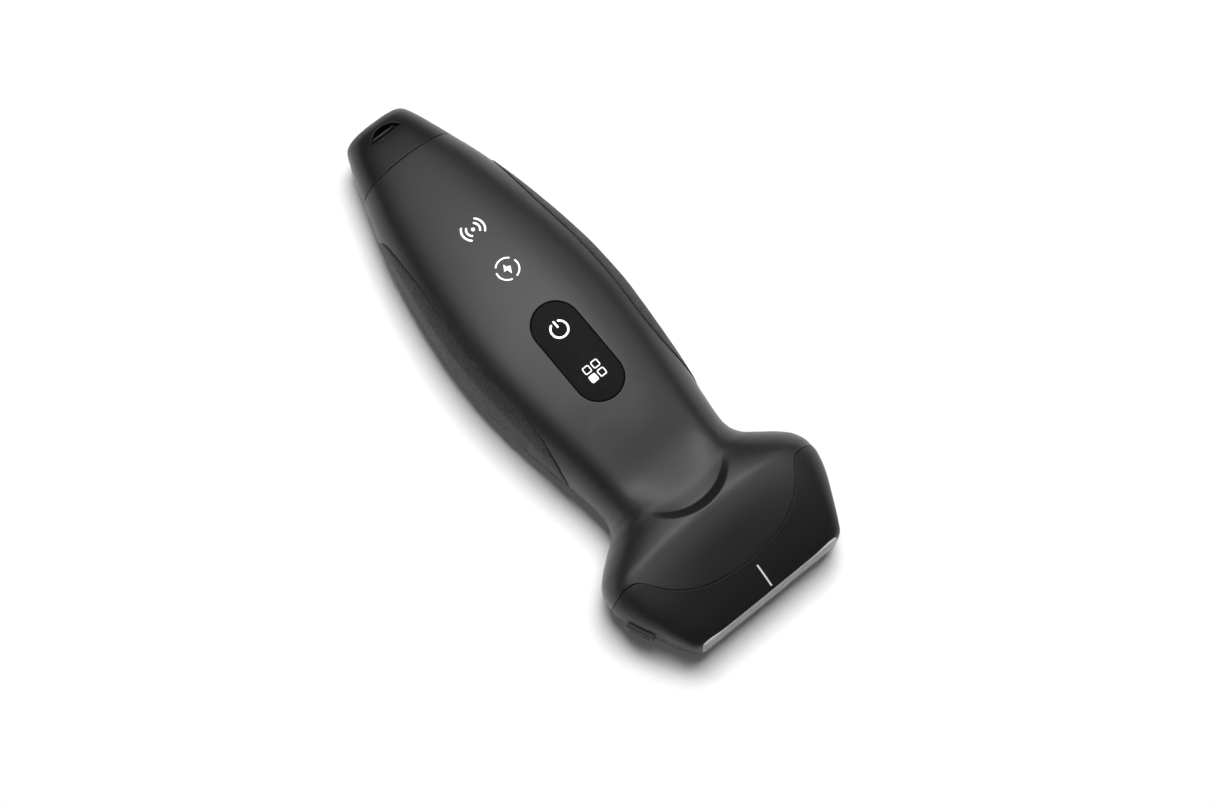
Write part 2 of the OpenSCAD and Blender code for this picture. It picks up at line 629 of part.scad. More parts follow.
// Marker on the side of the head that gives the scan its direction
ridge_back = 13.6; // from the lens to the ridge's centre
ridge_l = 7.4;
ridge_h = 4;
ridge_z = 9.2;
ridge_proud = 1.1;
ridge_sink = 0.9;
ridge_groove = 0.5;
ridge_x = half_l - ridge_back;
module ridge_place() {
    turn = atan((half_at(ridge_x - ridge_l / 2) - half_at(ridge_x + ridge_l / 2)) / ridge_l);
    translate([ridge_x, -half_at(ridge_x), ridge_z]) rotate([0, 0, turn]) children();
}
module ridge_block(sink, proud, margin)
    translate([-ridge_l / 2 - margin, -proud, -ridge_h / 2 - margin])
    cube([ridge_l + 2 * margin, proud + sink, ridge_h + 2 * margin]);
module orientation_ridge() color([0.1, 0.1, 0.11]) ridge_place() difference() {
    ridge_block(ridge_sink, ridge_proud, 0);
    translate([-ridge_l, -ridge_proud - eps, -ridge_h / 6])
        cube([ridge_l * 2, ridge_groove, ridge_groove]);
}

module acoustic_lens() color([0.55, 0.56, 0.58]) intersection() {
    translate([front_x, 0, stack_z]) rotate([90, 0, 90]) linear_extrude(lens_bulge * 2)
        polygon([for (i = [0 : lens_sides - 1]) let (a = 360 * i / lens_sides)
            [lens_w / 2 * power(cos(a), lens_square), lens_h / 2 * power(sin(a), lens_square)]]);
    translate([half_l - lens_r, lens_w, stack_z]) rotate([90, 0, 0])
        cylinder(r = lens_r, h = lens_w * 2, $fn = 128);
}
module stack_layer(x, t, w, h) translate([x, -w / 2, stack_z - h / 2]) cube([t, w, h]);
module matching_layer() color([0.3, 0.45, 0.35]) stack_layer(piezo_x, matching_t, stack_w, stack_h);
module piezo_array() color([0.75, 0.68, 0.45]) stack_layer(backing_x, piezo_t, stack_w, stack_h);
module backing_block() color([0.25, 0.25, 0.27])
    stack_layer(backing_x - backing_l, backing_l, stack_w, stack_h);

module left_grip() color([0.1, 0.1, 0.1]) difference() {
    grip_form(grip_proud, grip_t - eps, 0);
    grip_slot();
}
module right_grip() mirror([0, 1, 0]) left_grip();

module keypad_plate() color([0.06, 0.06, 0.07]) difference() {
    intersection() {
        translate([keypad_x, 0, keypad_seat]) pill(keypad_l, keypad_w, handle_top);
        skin_patch(keypad_x - keypad_l, keypad_x + keypad_l, keypad_w, keypad_seat - wall, keypad_drop);
    }
    for (k = [[power_x, power_key_r], [mode_x, mode_key_r]]) translate([k[0], 0, 0]) {
        cylinder(r = k[1] + key_gap, h = 2 * handle_top, $fn = 96);
        cylinder(r = k[1] + flange_rim + key_gap, h = flange_top + rest_gap, $fn = 96);
    }
}
module key(x, r) {
    intersection() {
        translate([x, 0, flange_z]) cylinder(r = r, h = handle_top, $fn = 96);
        skin_patch(x - r - wall, x + r + wall, r + wall, flange_z, keypad_drop);
    }
    translate([x, 0, flange_z]) cylinder(r = r + flange_rim, h = flange_t, $fn = 96);
    translate([x, 0, stem_z]) cylinder(r = stem_r, h = flange_z - stem_z + eps, $fn = 32);
}
module power_key() color([0.07, 0.07, 0.08]) key(power_x, power_key_r);
module mode_key() color([0.07, 0.07, 0.08]) key(mode_x, mode_key_r);
module switch(x) translate([x, 0, board_top]) {
    translate([-switch_w / 2, -switch_w / 2, 0]) cube([switch_w, switch_w, switch_h]);
    cylinder(r = plunger_r, h = switch_h + plunger_h, $fn = 32);
}
module power_switch() color([0.7, 0.7, 0.7]) switch(power_x);
module mode_switch() color([0.7, 0.7, 0.7]) switch(mode_x);

module light_guide(x) translate([x, 0, 0]) {
    translate([0, 0, guide_top(x) - guide_head_h]) cylinder(r = guide_r, h = guide_head_h, $fn = 64);
    translate([0, 0, board_top + led_h + fit])
        cylinder(r = guide_stem_r, h = guide_top(x) - board_top - led_h - fit, $fn = 32);
}
module signal_light_guide() color([0.9, 0.92, 0.95]) light_guide(signal_x);
module charge_light_guide() color([0.9, 0.92, 0.95]) light_guide(charge_x);
module led(x) translate([x - led_w / 2, -led_w / 2, board_top]) cube([led_w, led_w, led_h]);
module signal_led() color([0.95, 0.95, 0.85]) led(signal_x);
module charge_led() color([0.95, 0.95, 0.85]) led(charge_x);

module main_board() color([0.05, 0.35, 0.2]) difference() {
    translate([board_from, 0, board_z]) rounded_block(board_to - board_from, board_w, board_t, head_r / 2);
    both_sides(board_screws_at) cylinder(r = shaft_r + fit / 2, h = handle_top, $fn = 32);
}
chip_w = 8;
chip_h = 1.3;
chip_gap = 0.8; // from the memory chip to the switches beside it
memory_l = key_pitch - switch_w - 2 * chip_gap;
can_l = 6.6;
can_w = 14;
can_h = 1.8;
module chip(x, y, z, l, w, h) translate([x - l / 2, y - w / 2, z]) cube([l, w, h]);
module processor_chip() color([0.1, 0.1, 0.1])
    chip((charge_x + guide_stem_r + power_x - switch_w / 2) / 2, 0, board_top, chip_w, chip_w, chip_h);
module radio_can() color([0.8, 0.8, 0.8])
    chip((signal_x + charge_x) / 2, 0, board_top, can_l, can_w, can_h);
module memory_chip() color([0.1, 0.1, 0.1])
    chip(keypad_x, 0, board_top, memory_l, chip_w, chip_h);
antenna_l = 8.5;
antenna_w = 11;
antenna_t = 0.8;
module antenna_board() color([0.05, 0.3, 0.35])
    translate([frame_from - arm_l, -antenna_w / 2, frame_z + frame_t])
        cube([antenna_l, antenna_w, antenna_t]);

function frame_half(x) = half_at(x) - wall - frame_edge;
frame_sides = 10;
module inner_frame() color([0.75, 0.76, 0.78]) difference() {
    union() {
        translate([0, 0, frame_z]) linear_extrude(frame_t) polygon(concat(
            [for (x = evenly(frame_from, frame_to, frame_sides)) [x, frame_half(x)]],
            [for (x = evenly(frame_to, frame_from, frame_sides)) [x, -frame_half(x)]]));
        translate([frame_from - arm_l, -arm_w / 2, frame_z]) cube([arm_l + wall, arm_w, frame_t]);
        both_sides(board_screws_at) translate([0, 0, frame_z])
            cylinder(r = standoff_r, h = frame_t + standoff_h, $fn = 32);
    }
    both_sides(board_screws_at) cylinder(r = thread_r, h = handle_top, $fn = 32);
    both_sides(frame_screws_at) cylinder(r = shaft_r + fit / 2, h = handle_top, $fn = 32);
    for (x = shell_screw_xs) both_sides([[x, boss_y(x)]])
        cylinder(r = boss_r + fit, h = handle_top, $fn = 32);
}
tab_board_t = 1;
module battery_pack() color([0.55, 0.6, 0.7]) translate([battery_x, 0, battery_z])
    rounded_block(battery_l, battery_w, battery_h, battery_corner);
module battery_board() color([0.05, 0.3, 0.15])
    translate([battery_x + battery_l, -battery_w / 2 + battery_corner, battery_z])
        cube([tab_board_t, battery_w - 2 * battery_corner, battery_h]);
module battery_pad() color([0.3, 0.3, 0.32])
    translate([battery_x + battery_corner, 0, pad_z])
        rounded_block(battery_l - 2 * battery_corner, battery_w - 2 * battery_corner, pad_t, battery_corner);
module disc_ring(r, hole, z, t) translate([coil_x, 0, z]) difference() {
    cylinder(r = r, h = t, $fn = 96);
    if (hole > 0) translate([0, 0, -t]) cylinder(r = hole, h = 3 * t, $fn = 64);
}
module charging_coil() color([0.75, 0.45, 0.25])
    disc_ring(coil_r, coil_r - coil_turns_w, seat_z, coil_t);
module ferrite_sheet() color([0.25, 0.25, 0.28]) disc_ring(coil_r, 0, ferrite_z, ferrite_t);

module front_end_board() color([0.05, 0.35, 0.2]) difference() {
    translate([front_board_from, 0, front_board_z])
        rounded_block(front_board_to - front_board_from, front_board_w, board_t, head_r / 2);
    both_sides(front_screws_at) cylinder(r = shaft_r + fit / 2, h = handle_top, $fn = 32);
}
module beamformer_chip() color([0.1, 0.1, 0.1])
    chip((front_board_from + front_board_to) / 2, 0, front_board_top, chip_w * 1.5, chip_w * 1.5, chip_h);
flex_t = 0.2;
flex_w = 11;
flex_land = 3;
// A strip of flat cable that follows points in the XZ plane
module strip(points, w) translate([0, w / 2, 0]) rotate([90, 0, 0]) linear_extrude(w)
    polygon(concat(points, [for (i = [len(points) - 1 : -1 : 0]) points[i] + [0, flex_t]]));
module link_flex() color([0.8, 0.5, 0.2]) strip([[board_to - flex_land, board_top], [board_to, board_top],
    [front_board_from, front_board_top], [front_board_from + flex_land, front_board_top]], flex_w);
module array_flex() color([0.8, 0.5, 0.2]) strip([
    [front_board_to - flex_land, front_board_z - flex_t],
    [front_board_to, front_board_z - flex_t],
    [backing_x - backing_l - eps, stack_z]], flex_w);

// Seal between the two shells, one strip along each side
strip_in = 1.45;
strip_w = 0.55;
strip_deep = 0.6;
strip_steps = 24;
module shell_gasket_form() {
    xs = evenly(cap_x + wall, seam_side_x - wall, strip_steps);
    mirrored_y() translate([0, 0, part_z - seam_gap / 2 - strip_deep])
        linear_extrude(strip_deep + seam_gap) polygon(concat(
            [for (x = xs) [x, half_at(x) - strip_in]],
            [for (i = [strip_steps : -1 : 0]) [xs[i], half_at(xs[i]) - strip_in - strip_w]]));
}
module shell_gasket() color([0.12, 0.12, 0.12]) shell_gasket_form();

module shell_screws() color([0.6, 0.6, 0.62]) for (x = shell_screw_xs) both_sides([[x, boss_y(x)]])
    translate([0, 0, shell_screw_tip]) mirror([0, 0, 1]) screw(shell_screw_l);
module frame_screws() color([0.6, 0.6, 0.62]) both_sides(frame_screws_at)
    translate([0, 0, frame_z + frame_t - screw_l]) screw(screw_l);
module board_screws() color([0.6, 0.6, 0.62]) both_sides(board_screws_at)
    translate([0, 0, board_top - standoff_h - frame_t]) screw(standoff_h + frame_t);
module front_board_screws() color([0.6, 0.6, 0.62]) both_sides(front_screws_at)
    translate([0, 0, front_board_top - screw_l]) screw(screw_l);

upper_shell();
lower_shell();
tail_cap();
nose_housing();
acoustic_lens();
left_grip();
right_grip();
orientation_ridge();
keypad_plate();
power_key();
mode_key();
signal_light_guide();
charge_light_guide();
power_switch();
mode_switch();
signal_led();
charge_led();
main_board();
processor_chip();
radio_can();
memory_chip();
antenna_board();
inner_frame();
battery_pack();
battery_board();
battery_pad();
charging_coil();
ferrite_sheet();
front_end_board();
beamformer_chip();
link_flex();
array_flex();
backing_block();
piezo_array();
matching_layer();
shell_gasket();
nose_gasket();
tail_gasket();
shell_screws();
frame_screws();
board_screws();
front_board_screws();
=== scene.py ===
import json
import math

import bmesh
import bpy
import numpy as np
from mathutils import Matrix, Vector
from mathutils.geometry import delaunay_2d_cdt
from mathutils.kdtree import KDTree


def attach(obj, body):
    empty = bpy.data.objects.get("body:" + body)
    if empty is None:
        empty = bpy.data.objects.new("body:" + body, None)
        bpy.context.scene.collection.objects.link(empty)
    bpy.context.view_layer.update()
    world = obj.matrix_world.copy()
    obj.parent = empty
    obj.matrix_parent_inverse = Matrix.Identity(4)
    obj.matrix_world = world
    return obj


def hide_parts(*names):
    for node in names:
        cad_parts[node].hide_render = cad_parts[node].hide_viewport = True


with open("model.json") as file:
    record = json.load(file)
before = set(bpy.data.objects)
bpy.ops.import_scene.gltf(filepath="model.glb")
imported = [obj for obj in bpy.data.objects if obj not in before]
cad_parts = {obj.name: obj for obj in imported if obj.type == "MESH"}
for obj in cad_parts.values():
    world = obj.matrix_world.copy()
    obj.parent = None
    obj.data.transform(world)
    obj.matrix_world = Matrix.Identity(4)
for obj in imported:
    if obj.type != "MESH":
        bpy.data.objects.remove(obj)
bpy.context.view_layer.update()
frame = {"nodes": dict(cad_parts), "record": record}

# Sizes of the probe in millimetres, as in the CAD model
LENGTH = 158.3
TAIL_W, CAP_W, HANDLE_W, NECK_W, HEAD_W, NOSE_W = 14.0, 29.2, 48.7, 38.5, 64.76, 46.2
TAIL_X = -LENGTH / 2
CAP_X = TAIL_X + 15.0
HANDLE_X = TAIL_X + 72.0
NECK_X = LENGTH / 2 - 41.3
HEAD_X = LENGTH / 2 - 21.3
CREST_X = LENGTH / 2 - 24.8
FRONT_X = LENGTH / 2 - 0.5
PART_Z = 9.0
LENS_Z = 9.35
TAIL_TOP, CAP_TOP, HANDLE_TOP, NECK_TOP, HEAD_TOP, NOSE_TOP = 13.5, 21.8, 26.95, 23.6, 25.2, 14.5
TAIL_LOW, CAP_LOW, HANDLE_LOW, NECK_LOW, HEAD_LOW, NOSE_LOW = 8.0, 1.6, -0.4, 1.6, 0.5, 4.2
SCOOP_DEPTH, SCOOP_L, SCOOP_HALF, SCOOP_WALL, CRESCENT_R = 2.2, 28.0, 12.5, 2.9, 14.7
SEAM_SIDE_X, SEAM_FRONT_X = LENGTH / 2 - 21.3, LENGTH / 2 - 8.9
GRIP_X, GRIP_L = TAIL_X + 25.2, 80.3
GAP = 0.075
KEYPAD_X, KEYPAD_L, KEYPAD_W = CAP_X + 0.672 * (NECK_X - CAP_X), 29.1, 12.8
POWER_X, MODE_X = KEYPAD_X - 6.8, KEYPAD_X + 6.8
POWER_R, MODE_R = 4.9, 5.4
SIGNAL_X, CHARGE_X = CAP_X + 0.268 * (NECK_X - CAP_X), CAP_X + 0.403 * (NECK_X - CAP_X)
KEYPAD_DROP = 0.15
# Rounding of the edges along the seams, and how deep those edges turn in
LIP_R = 0.15
TURN_IN = 1.1
SCREW_XS, SCREW_INSET, SCREW_HOLE = [TAIL_X + 45.5, TAIL_X + 87.5], 6.2, 4.2
GRIP_PROUD, GRIP_LIP, GRIP_TURN_IN = 0.27, 0.4, 0.8
# The grip's slot: from and to along X, from and to in shares of the lower half, and depth
GRIP_SLOT_X, GRIP_SLOT_SHARE, GRIP_SLOT_DEPTH = (12.4, 24.6), (-0.5, -0.22), 1.1
LENS_HALF_W, LENS_HALF_H, LENS_BULGE, LENS_EDGE, LENS_SQUARE = 21.4, 5.0, 0.5, 0.28, 9
RIDGE_X, RIDGE_L, RIDGE_H, RIDGE_Z, RIDGE_PROUD, RIDGE_LIP = LENGTH / 2 - 13.6, 7.4, 4.0, 9.2, 1.1, 0.4
GROOVE_HALF, GROOVE_DEPTH = 0.55, 0.55
PRINT_LIFT = 0.03


def tab(*pairs):
    return np.array(pairs, float)


TAIL_WIDTH = tab((0, 0), (0.06, 0.3), (0.23, 0.46), (0.67, 0.78), (1, 1))
HANDLE_WIDTH = tab((0, 0), (0.16, 0.3), (0.4, 0.625), (0.65, 0.872), (0.825, 0.975), (1, 1))
NECK_WIDTH = tab((0, 0), (0.22, 0.118), (0.44, 0.343), (0.67, 0.637), (0.83, 0.853), (1, 1))
HEAD_WIDTH = tab((0, 0), (0.12, 0.03), (0.26, 0.15), (0.4, 0.41), (0.55, 0.7), (0.7, 0.9), (0.85, 0.985),
                 (1, 1))
NOSE_WIDTH = tab((0, 0), (0.14, 0.064), (0.32, 0.213), (0.55, 0.468), (0.78, 0.734), (1, 1))
TAIL_TOPS = tab((0, 0), (0.033, 0.3), (0.1, 0.47), (0.23, 0.64), (0.5, 0.82), (1, 1))
HANDLE_TOPS = tab((0, 0), (0.22, 0.365), (0.48, 0.69), (0.75, 0.904), (1, 1))
NECK_TOPS = tab((0, 0), (0.43, 0.206), (0.77, 0.647), (1, 1))
CREST_TOPS = tab((0, 0), (0.5, 0.2), (0.8, 0.75), (1, 1))
NOSE_TOPS = tab((0, 0), (0.12, 0.06), (0.24, 0.15), (0.44, 0.34), (0.64, 0.55), (0.84, 0.775), (0.95, 0.92),
                (1, 1))
TAIL_LOWS = tab((0, 0), (0.033, 0.3), (0.1, 0.48), (0.23, 0.66), (0.5, 0.84), (1, 1))
BELLY = tab((0, 0), (0.35, 1), (0.8, 1), (1, 1))
NECK_LOWS = tab((0, 0), (0.45, 0.1), (0.8, 0.7), (1, 1))
ENDS = tab((0, 0), (0.5, 0.5), (1, 1))
NOSE_LOWS = tab((0, 0), (0.3, 0.12), (0.6, 0.42), (0.9, 0.84), (1, 1))
UPPER_SQUARE = tab((0, 2.7), (0.09, 2.35), (0.3, 2.15), (0.8, 2.25), (0.88, 2.7), (0.95, 3.8), (1, 4.6))
LOWER_SQUARE = tab((0, 2.7), (0.09, 2.8), (0.8, 2.8), (0.9, 3.2), (1, 4.6))
NOSE_SEAM = tab((0, 1), (0.2, 0.96), (0.36, 0.87), (0.49, 0.72), (0.58, 0.56), (0.65, 0.38), (0.71, 0.16),
                (0.75, 0.03), (0.8, -0.06), (0.87, -0.09), (1, -0.05))
GRIP_UPPER = tab((0, 0), (0.04, 0.38), (0.14, 0.515), (0.25, 0.583), (0.5, 0.605), (0.72, 0.62),
                 (0.84, 0.55), (0.91, 0.43), (0.96, 0.28), (1, 0))
GRIP_LOWER = tab((0, 0), (0.04, 0.36), (0.14, 0.54), (0.5, 0.6), (0.8, 0.53), (0.92, 0.38), (1, 0))


def smooth(t, u, first=0.0, last=0.0):
    """The smooth curve through a table, level at its ends unless a slope is given."""
    x, y = t[:, 0], t[:, 1]
    u = np.asarray(u, float)
    rise = np.diff(y) / np.diff(x)
    slope = np.zeros(len(x))
    for k in range(1, len(x) - 1):
        a, b = rise[k - 1], rise[k]
        slope[k] = 0.0 if a * b <= 0 else 2 * a * b / (a + b)
    slope[0], slope[-1] = first, last
    i = np.clip(np.searchsorted(x, u, side="right") - 1, 0, len(x) - 2)
    h = x[i + 1] - x[i]
    s = (u - x[i]) / h
    return (y[i] * (1 + 2 * s) * (1 - s) ** 2 + slope[i] * h * s * (1 - s) ** 2
            + y[i + 1] * s * s * (3 - 2 * s) + slope[i + 1] * h * s * s * (s - 1))


def along(x, a, b):
    return np.clip((np.asarray(x, float) - a) / (b - a), 0, 1)


def mix(a, b, s):
    return a + (b - a) * s


def stretch(x, parts):
    """A profile along X that is made of stretches: from, to, first value, last value, table, slopes."""
    out = np.zeros_like(np.asarray(x, float))
    for a, b, va, vb, t, first, last in parts:
        v = mix(va, vb, smooth(t, along(x, a, b), first, last))
        out = np.where((x >= a) | (a == parts[0][0]), v, out)
    return out


def half_at(x):
    return 0.5 * stretch(x, [
        (TAIL_X, CAP_X, TAIL_W, CAP_W, TAIL_WIDTH, 8, 0.6),
        (CAP_X, HANDLE_X, CAP_W, HANDLE_W, HANDLE_WIDTH, 2, 0),
        (HANDLE_X, NECK_X, HANDLE_W, NECK_W, NECK_WIDTH, 0, 0),
        (NECK_X, HEAD_X, NECK_W, HEAD_W, HEAD_WIDTH, 0, 0),
        (HEAD_X, FRONT_X, HEAD_W, NOSE_W, NOSE_WIDTH, 0, 1.15)])


def top_at(x):
    return stretch(x, [
        (TAIL_X, CAP_X, TAIL_TOP, CAP_TOP, TAIL_TOPS, 8, 0.3),
        (CAP_X, HANDLE_X, CAP_TOP, HANDLE_TOP, HANDLE_TOPS, 2, 0),
        (HANDLE_X, NECK_X, HANDLE_TOP, NECK_TOP, NECK_TOPS, 0, 0),
        (NECK_X, CREST_X, NECK_TOP, HEAD_TOP, CREST_TOPS, 0, 0),
        (CREST_X, FRONT_X, HEAD_TOP, NOSE_TOP, NOSE_TOPS, 0, 2)])


def bottom_at(x):
    return stretch(x, [
        (TAIL_X, CAP_X, TAIL_LOW, CAP_LOW, TAIL_LOWS, 8, 0.3),
        (CAP_X, HANDLE_X, CAP_LOW, HANDLE_LOW, BELLY, 2, 0),
        (HANDLE_X, NECK_X, HANDLE_LOW, NECK_LOW, NECK_LOWS, 0, 0),
        (NECK_X, CREST_X, NECK_LOW, HEAD_LOW, ENDS, 0, 0),
        (CREST_X, FRONT_X, HEAD_LOW, NOSE_LOW, NOSE_LOWS, 0, 1.3)])


def square_at(x, lower):
    return smooth(LOWER_SQUARE if lower else UPPER_SQUARE, along(x, TAIL_X, FRONT_X))


def sag(y):
    return CRESCENT_R - np.sqrt(CRESCENT_R ** 2 - np.minimum(np.abs(y), SCOOP_HALF) ** 2)


def ease(v):
    return v * v * (3 - 2 * v)


def wall_rise(v, soft=0.22):
    """A straight ramp from 0 to 1 with rounded ends."""
    v = np.clip(v, 0, 1)
    k = 1 / (2 * soft * (1 - soft))
    lo = k * v * v
    mid = soft * soft * k + (v - soft) / (1 - soft)
    hi = 1 - k * (1 - v) ** 2
    return np.where(v < soft, lo, np.where(v > 1 - soft, hi, mid))


def scoop(x, y):
    s = CREST_X - sag(y) - x
    side = (1 - np.clip(np.abs(y) / SCOOP_HALF, 0, 1) ** 3) ** 2
    run = np.where(s < SCOOP_WALL, wall_rise(s / SCOOP_WALL), 1 - ease(along(s - SCOOP_WALL, 0, SCOOP_L)))
    return np.where(s <= 0, 0.0, SCOOP_DEPTH * side * run)


def corner(x):
    """How far the nose's front corners are rounded in plan."""
    r = 1.7
    d = np.clip(x - (FRONT_X - r), 0, r)
    return r - np.sqrt(np.maximum(r * r - d * d, 0))


def surf(x, phi, lower=False):
    """A point of the housing's skin: station X and polar angle round the upper or lower half."""
    x, phi = np.broadcast_arrays(np.asarray(x, float), np.asarray(phi, float))
    n = square_at(x, lower)
    c, s = np.cos(phi), np.abs(np.sin(phi))
    k = (np.abs(c) ** n + s ** n) ** (-1 / n)
    y = (half_at(x) - corner(x)) * c * k
    if lower:
        z = np.maximum(PART_Z - (PART_Z - bottom_at(x)) * s * k, 0.0)
    else:
        z = PART_Z + (top_at(x) - PART_Z) * s * k - scoop(x, y)
    return np.stack([x, y, z], -1)


def surf_normal(x, phi, lower=False):
    x, phi = np.broadcast_arrays(np.asarray(x, float), np.asarray(phi, float))
    dx, dp = 0.01, 2e-4
    xa, xb = np.clip(x - dx, TAIL_X + 1e-4, FRONT_X), np.clip(x + dx, TAIL_X, FRONT_X)
    a = surf(xb, phi, lower) - surf(xa, phi, lower)
    b = surf(x, phi + dp, lower) - surf(x, phi - dp, lower)
    n = np.cross(a, b)
    if lower:
        n = -n
    length = np.linalg.norm(n, axis=-1, keepdims=True)
    n = n / np.maximum(length, 1e-12)
    # Normals point away from the middle line
    p = surf(x, phi, lower)
    out = p - np.stack([x, np.zeros_like(x), np.full_like(x, PART_Z)], -1)
    flip = np.sum(out * n, -1, keepdims=True) < 0
    return np.where(flip, -n, n)


def skin_z(x, y, lower=False):
    n = square_at(x, lower)
    q = np.clip(np.abs(y) / half_at(x), 0, 1)
    rise = (1 - q ** n) ** (1 / n)
    if lower:
        return np.maximum(PART_Z - (PART_Z - bottom_at(x)) * rise, 0.0)
    return PART_Z + (top_at(x) - PART_Z) * rise - scoop(x, y)


def nose_seam(y):
    return mix(SEAM_SIDE_X, SEAM_FRONT_X, smooth(NOSE_SEAM, np.clip(np.abs(y) / (HEAD_W / 2), 0, 1)))


def seam_x(phi, lower=False):
    """Where the line of constant angle meets the nose seam."""
    phi = np.asarray(phi, float)
    lo, hi = np.full_like(phi, 50.0), np.full_like(phi, 74.0)
    for _ in range(40):
        mid = (lo + hi) / 2
        y = surf(mid, phi, lower)[..., 1]
        ahead = mid > nose_seam(y)
        hi = np.where(ahead, mid, hi)
        lo = np.where(ahead, lo, mid)
    return (lo + hi) / 2


def share_angle(h, n):
    """Polar angle at which the section reaches a share of its height."""
    h = np.clip(h, 0, 0.98)
    return np.arctan2(h, (1 - h ** n) ** (1 / n))


def grip_angle(x, lower):
    v = along(x, GRIP_X, GRIP_X + GRIP_L)
    inside = (x > GRIP_X) & (x < GRIP_X + GRIP_L)
    h = smooth(GRIP_LOWER if lower else GRIP_UPPER, v, 20, -12)
    return np.where(inside, share_angle(np.maximum(h, 0), square_at(x, lower)), 0.0)


def lip(d, r):
    """Sinking of a rounded edge at a distance from the edge."""
    d = np.clip(d, 0, r)
    return r - np.sqrt(np.maximum(r * r - (r - d) ** 2, 0))


def steps(total, fine, grow=1.45, most=1.0):
    """Distances from 0 to total that start fine and grow."""
    out, d, s = [0.0], 0.0, fine
    while d + s < total:
        d += s
        out.append(d)
        s = min(s * grow, most)
    out[-1] = total if total - out[-1] < s * 0.4 and len(out) > 1 else out[-1]
    if out[-1] < total:
        out.append(total)
    return np.array(out)


def spread(a, b, fine_a, fine_b, most):
    """Stations from a to b, fine at either end."""
    mid = (a + b) / 2
    left = a + steps(mid - a, fine_a, 1.45, most)
    right = b - steps(b - mid, fine_b, 1.45, most)
    return np.concatenate([left, right[::-1][1:]])


class Shape:
    """Points and faces of one mesh, gathered in millimetres."""

    def __init__(self):
        self.chunks, self.faces, self.count = [], [], 0

    def points(self, p):
        p = np.asarray(p, float)
        flat = p.reshape(-1, 3)
        index = np.arange(self.count, self.count + len(flat)).reshape(p.shape[:-1])
        self.chunks.append(flat)
        self.count += len(flat)
        return index

    def position(self):
        return np.concatenate(self.chunks)

    def sheet(self, index, flip=False, keep=None):
        a, b, c, d = index[:-1, :-1], index[1:, :-1], index[1:, 1:], index[:-1, 1:]
        quads = np.stack([a, b, c, d], -1)
        if keep is not None:
            quads = quads[keep]
        quads = quads.reshape(-1, 4)
        self.faces += (quads[:, ::-1] if flip else quads).tolist()

    def band(self, lower, upper, flip=False, closed=True):
        k = len(lower)
        for i in range(k if closed else k - 1):
            j = (i + 1) % k
            f = [int(lower[i]), int(lower[j]), int(upper[j]), int(upper[i])]
            self.faces.append(f[::-1] if flip else f)

    def zip(self, outer, inner, flip=False):
        """Triangles between two closed loops that both run the same way round, seen in plan."""
        p = self.position()
        centre = p[inner][:, :2].mean(0)

        def angles(loop):
            d = p[loop][:, :2] - centre
            return np.unwrap(np.arctan2(d[:, 1], d[:, 0]))
        ao, ai = angles(outer), angles(inner)
        start = int(np.argmin(np.abs((ao - ai[0] + math.pi) % (2 * math.pi) - math.pi)))
        outer = np.roll(outer, -start)
        ao = angles(outer)
        ao += 2 * math.pi * round((ai[0] - ao[0]) / (2 * math.pi))
        ao = np.append(ao, ao[0] + 2 * math.pi * np.sign(ao[-1] - ao[0]))
        ai = np.append(ai, ai[0] + 2 * math.pi * np.sign(ai[-1] - ai[0]))
        i = j = 0
        no, ni = len(outer), len(inner)
        sign = 1 if ao[-1] > ao[0] else -1
        while i < no or j < ni:
            go_outer = j >= ni or (i < no and sign * ao[i + 1] <= sign * ai[j + 1])
            if go_outer:
                f = [int(outer[i % no]), int(outer[(i + 1) % no]), int(inner[j % ni])]
                i += 1
            else:
                f = [int(outer[i % no]), int(inner[(j + 1) % ni]), int(inner[j % ni])]
                j += 1
            self.faces.append(f[::-1] if flip else f)

    def turn_in(self, line, normals, depth):
        """A strip from a line of points straight into the skin."""
        deep = self.points(self.position()[line] - normals * depth)
        for i in range(len(line) - 1):
            self.faces.append([int(line[i]), int(line[i + 1]), int(deep[i + 1]), int(deep[i])])

    def make(self, name, material, body, replaces=(), flat=False, merge=False):
        mesh = bpy.data.meshes.new(name)
        mesh.from_pydata((self.position() * 0.001).tolist(), [], self.faces)
        if merge:
            bm = bmesh.new()
            bm.from_mesh(mesh)
            bmesh.ops.remove_doubles(bm, verts=bm.verts, dist=2e-6)
            bmesh.ops.recalc_face_normals(bm, faces=bm.faces)
            bm.to_mesh(mesh)
            bm.free()
        mesh.validate()
        if not flat:
            mesh.polygons.foreach_set("use_smooth", [True] * len(mesh.polygons))
        mesh.update()
        obj = bpy.data.objects.new(name, mesh)
        bpy.context.scene.collection.objects.link(obj)
        mesh.materials.append(material)
        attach(obj, body)
        if replaces:
            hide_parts(*replaces)
        return obj


# Materials

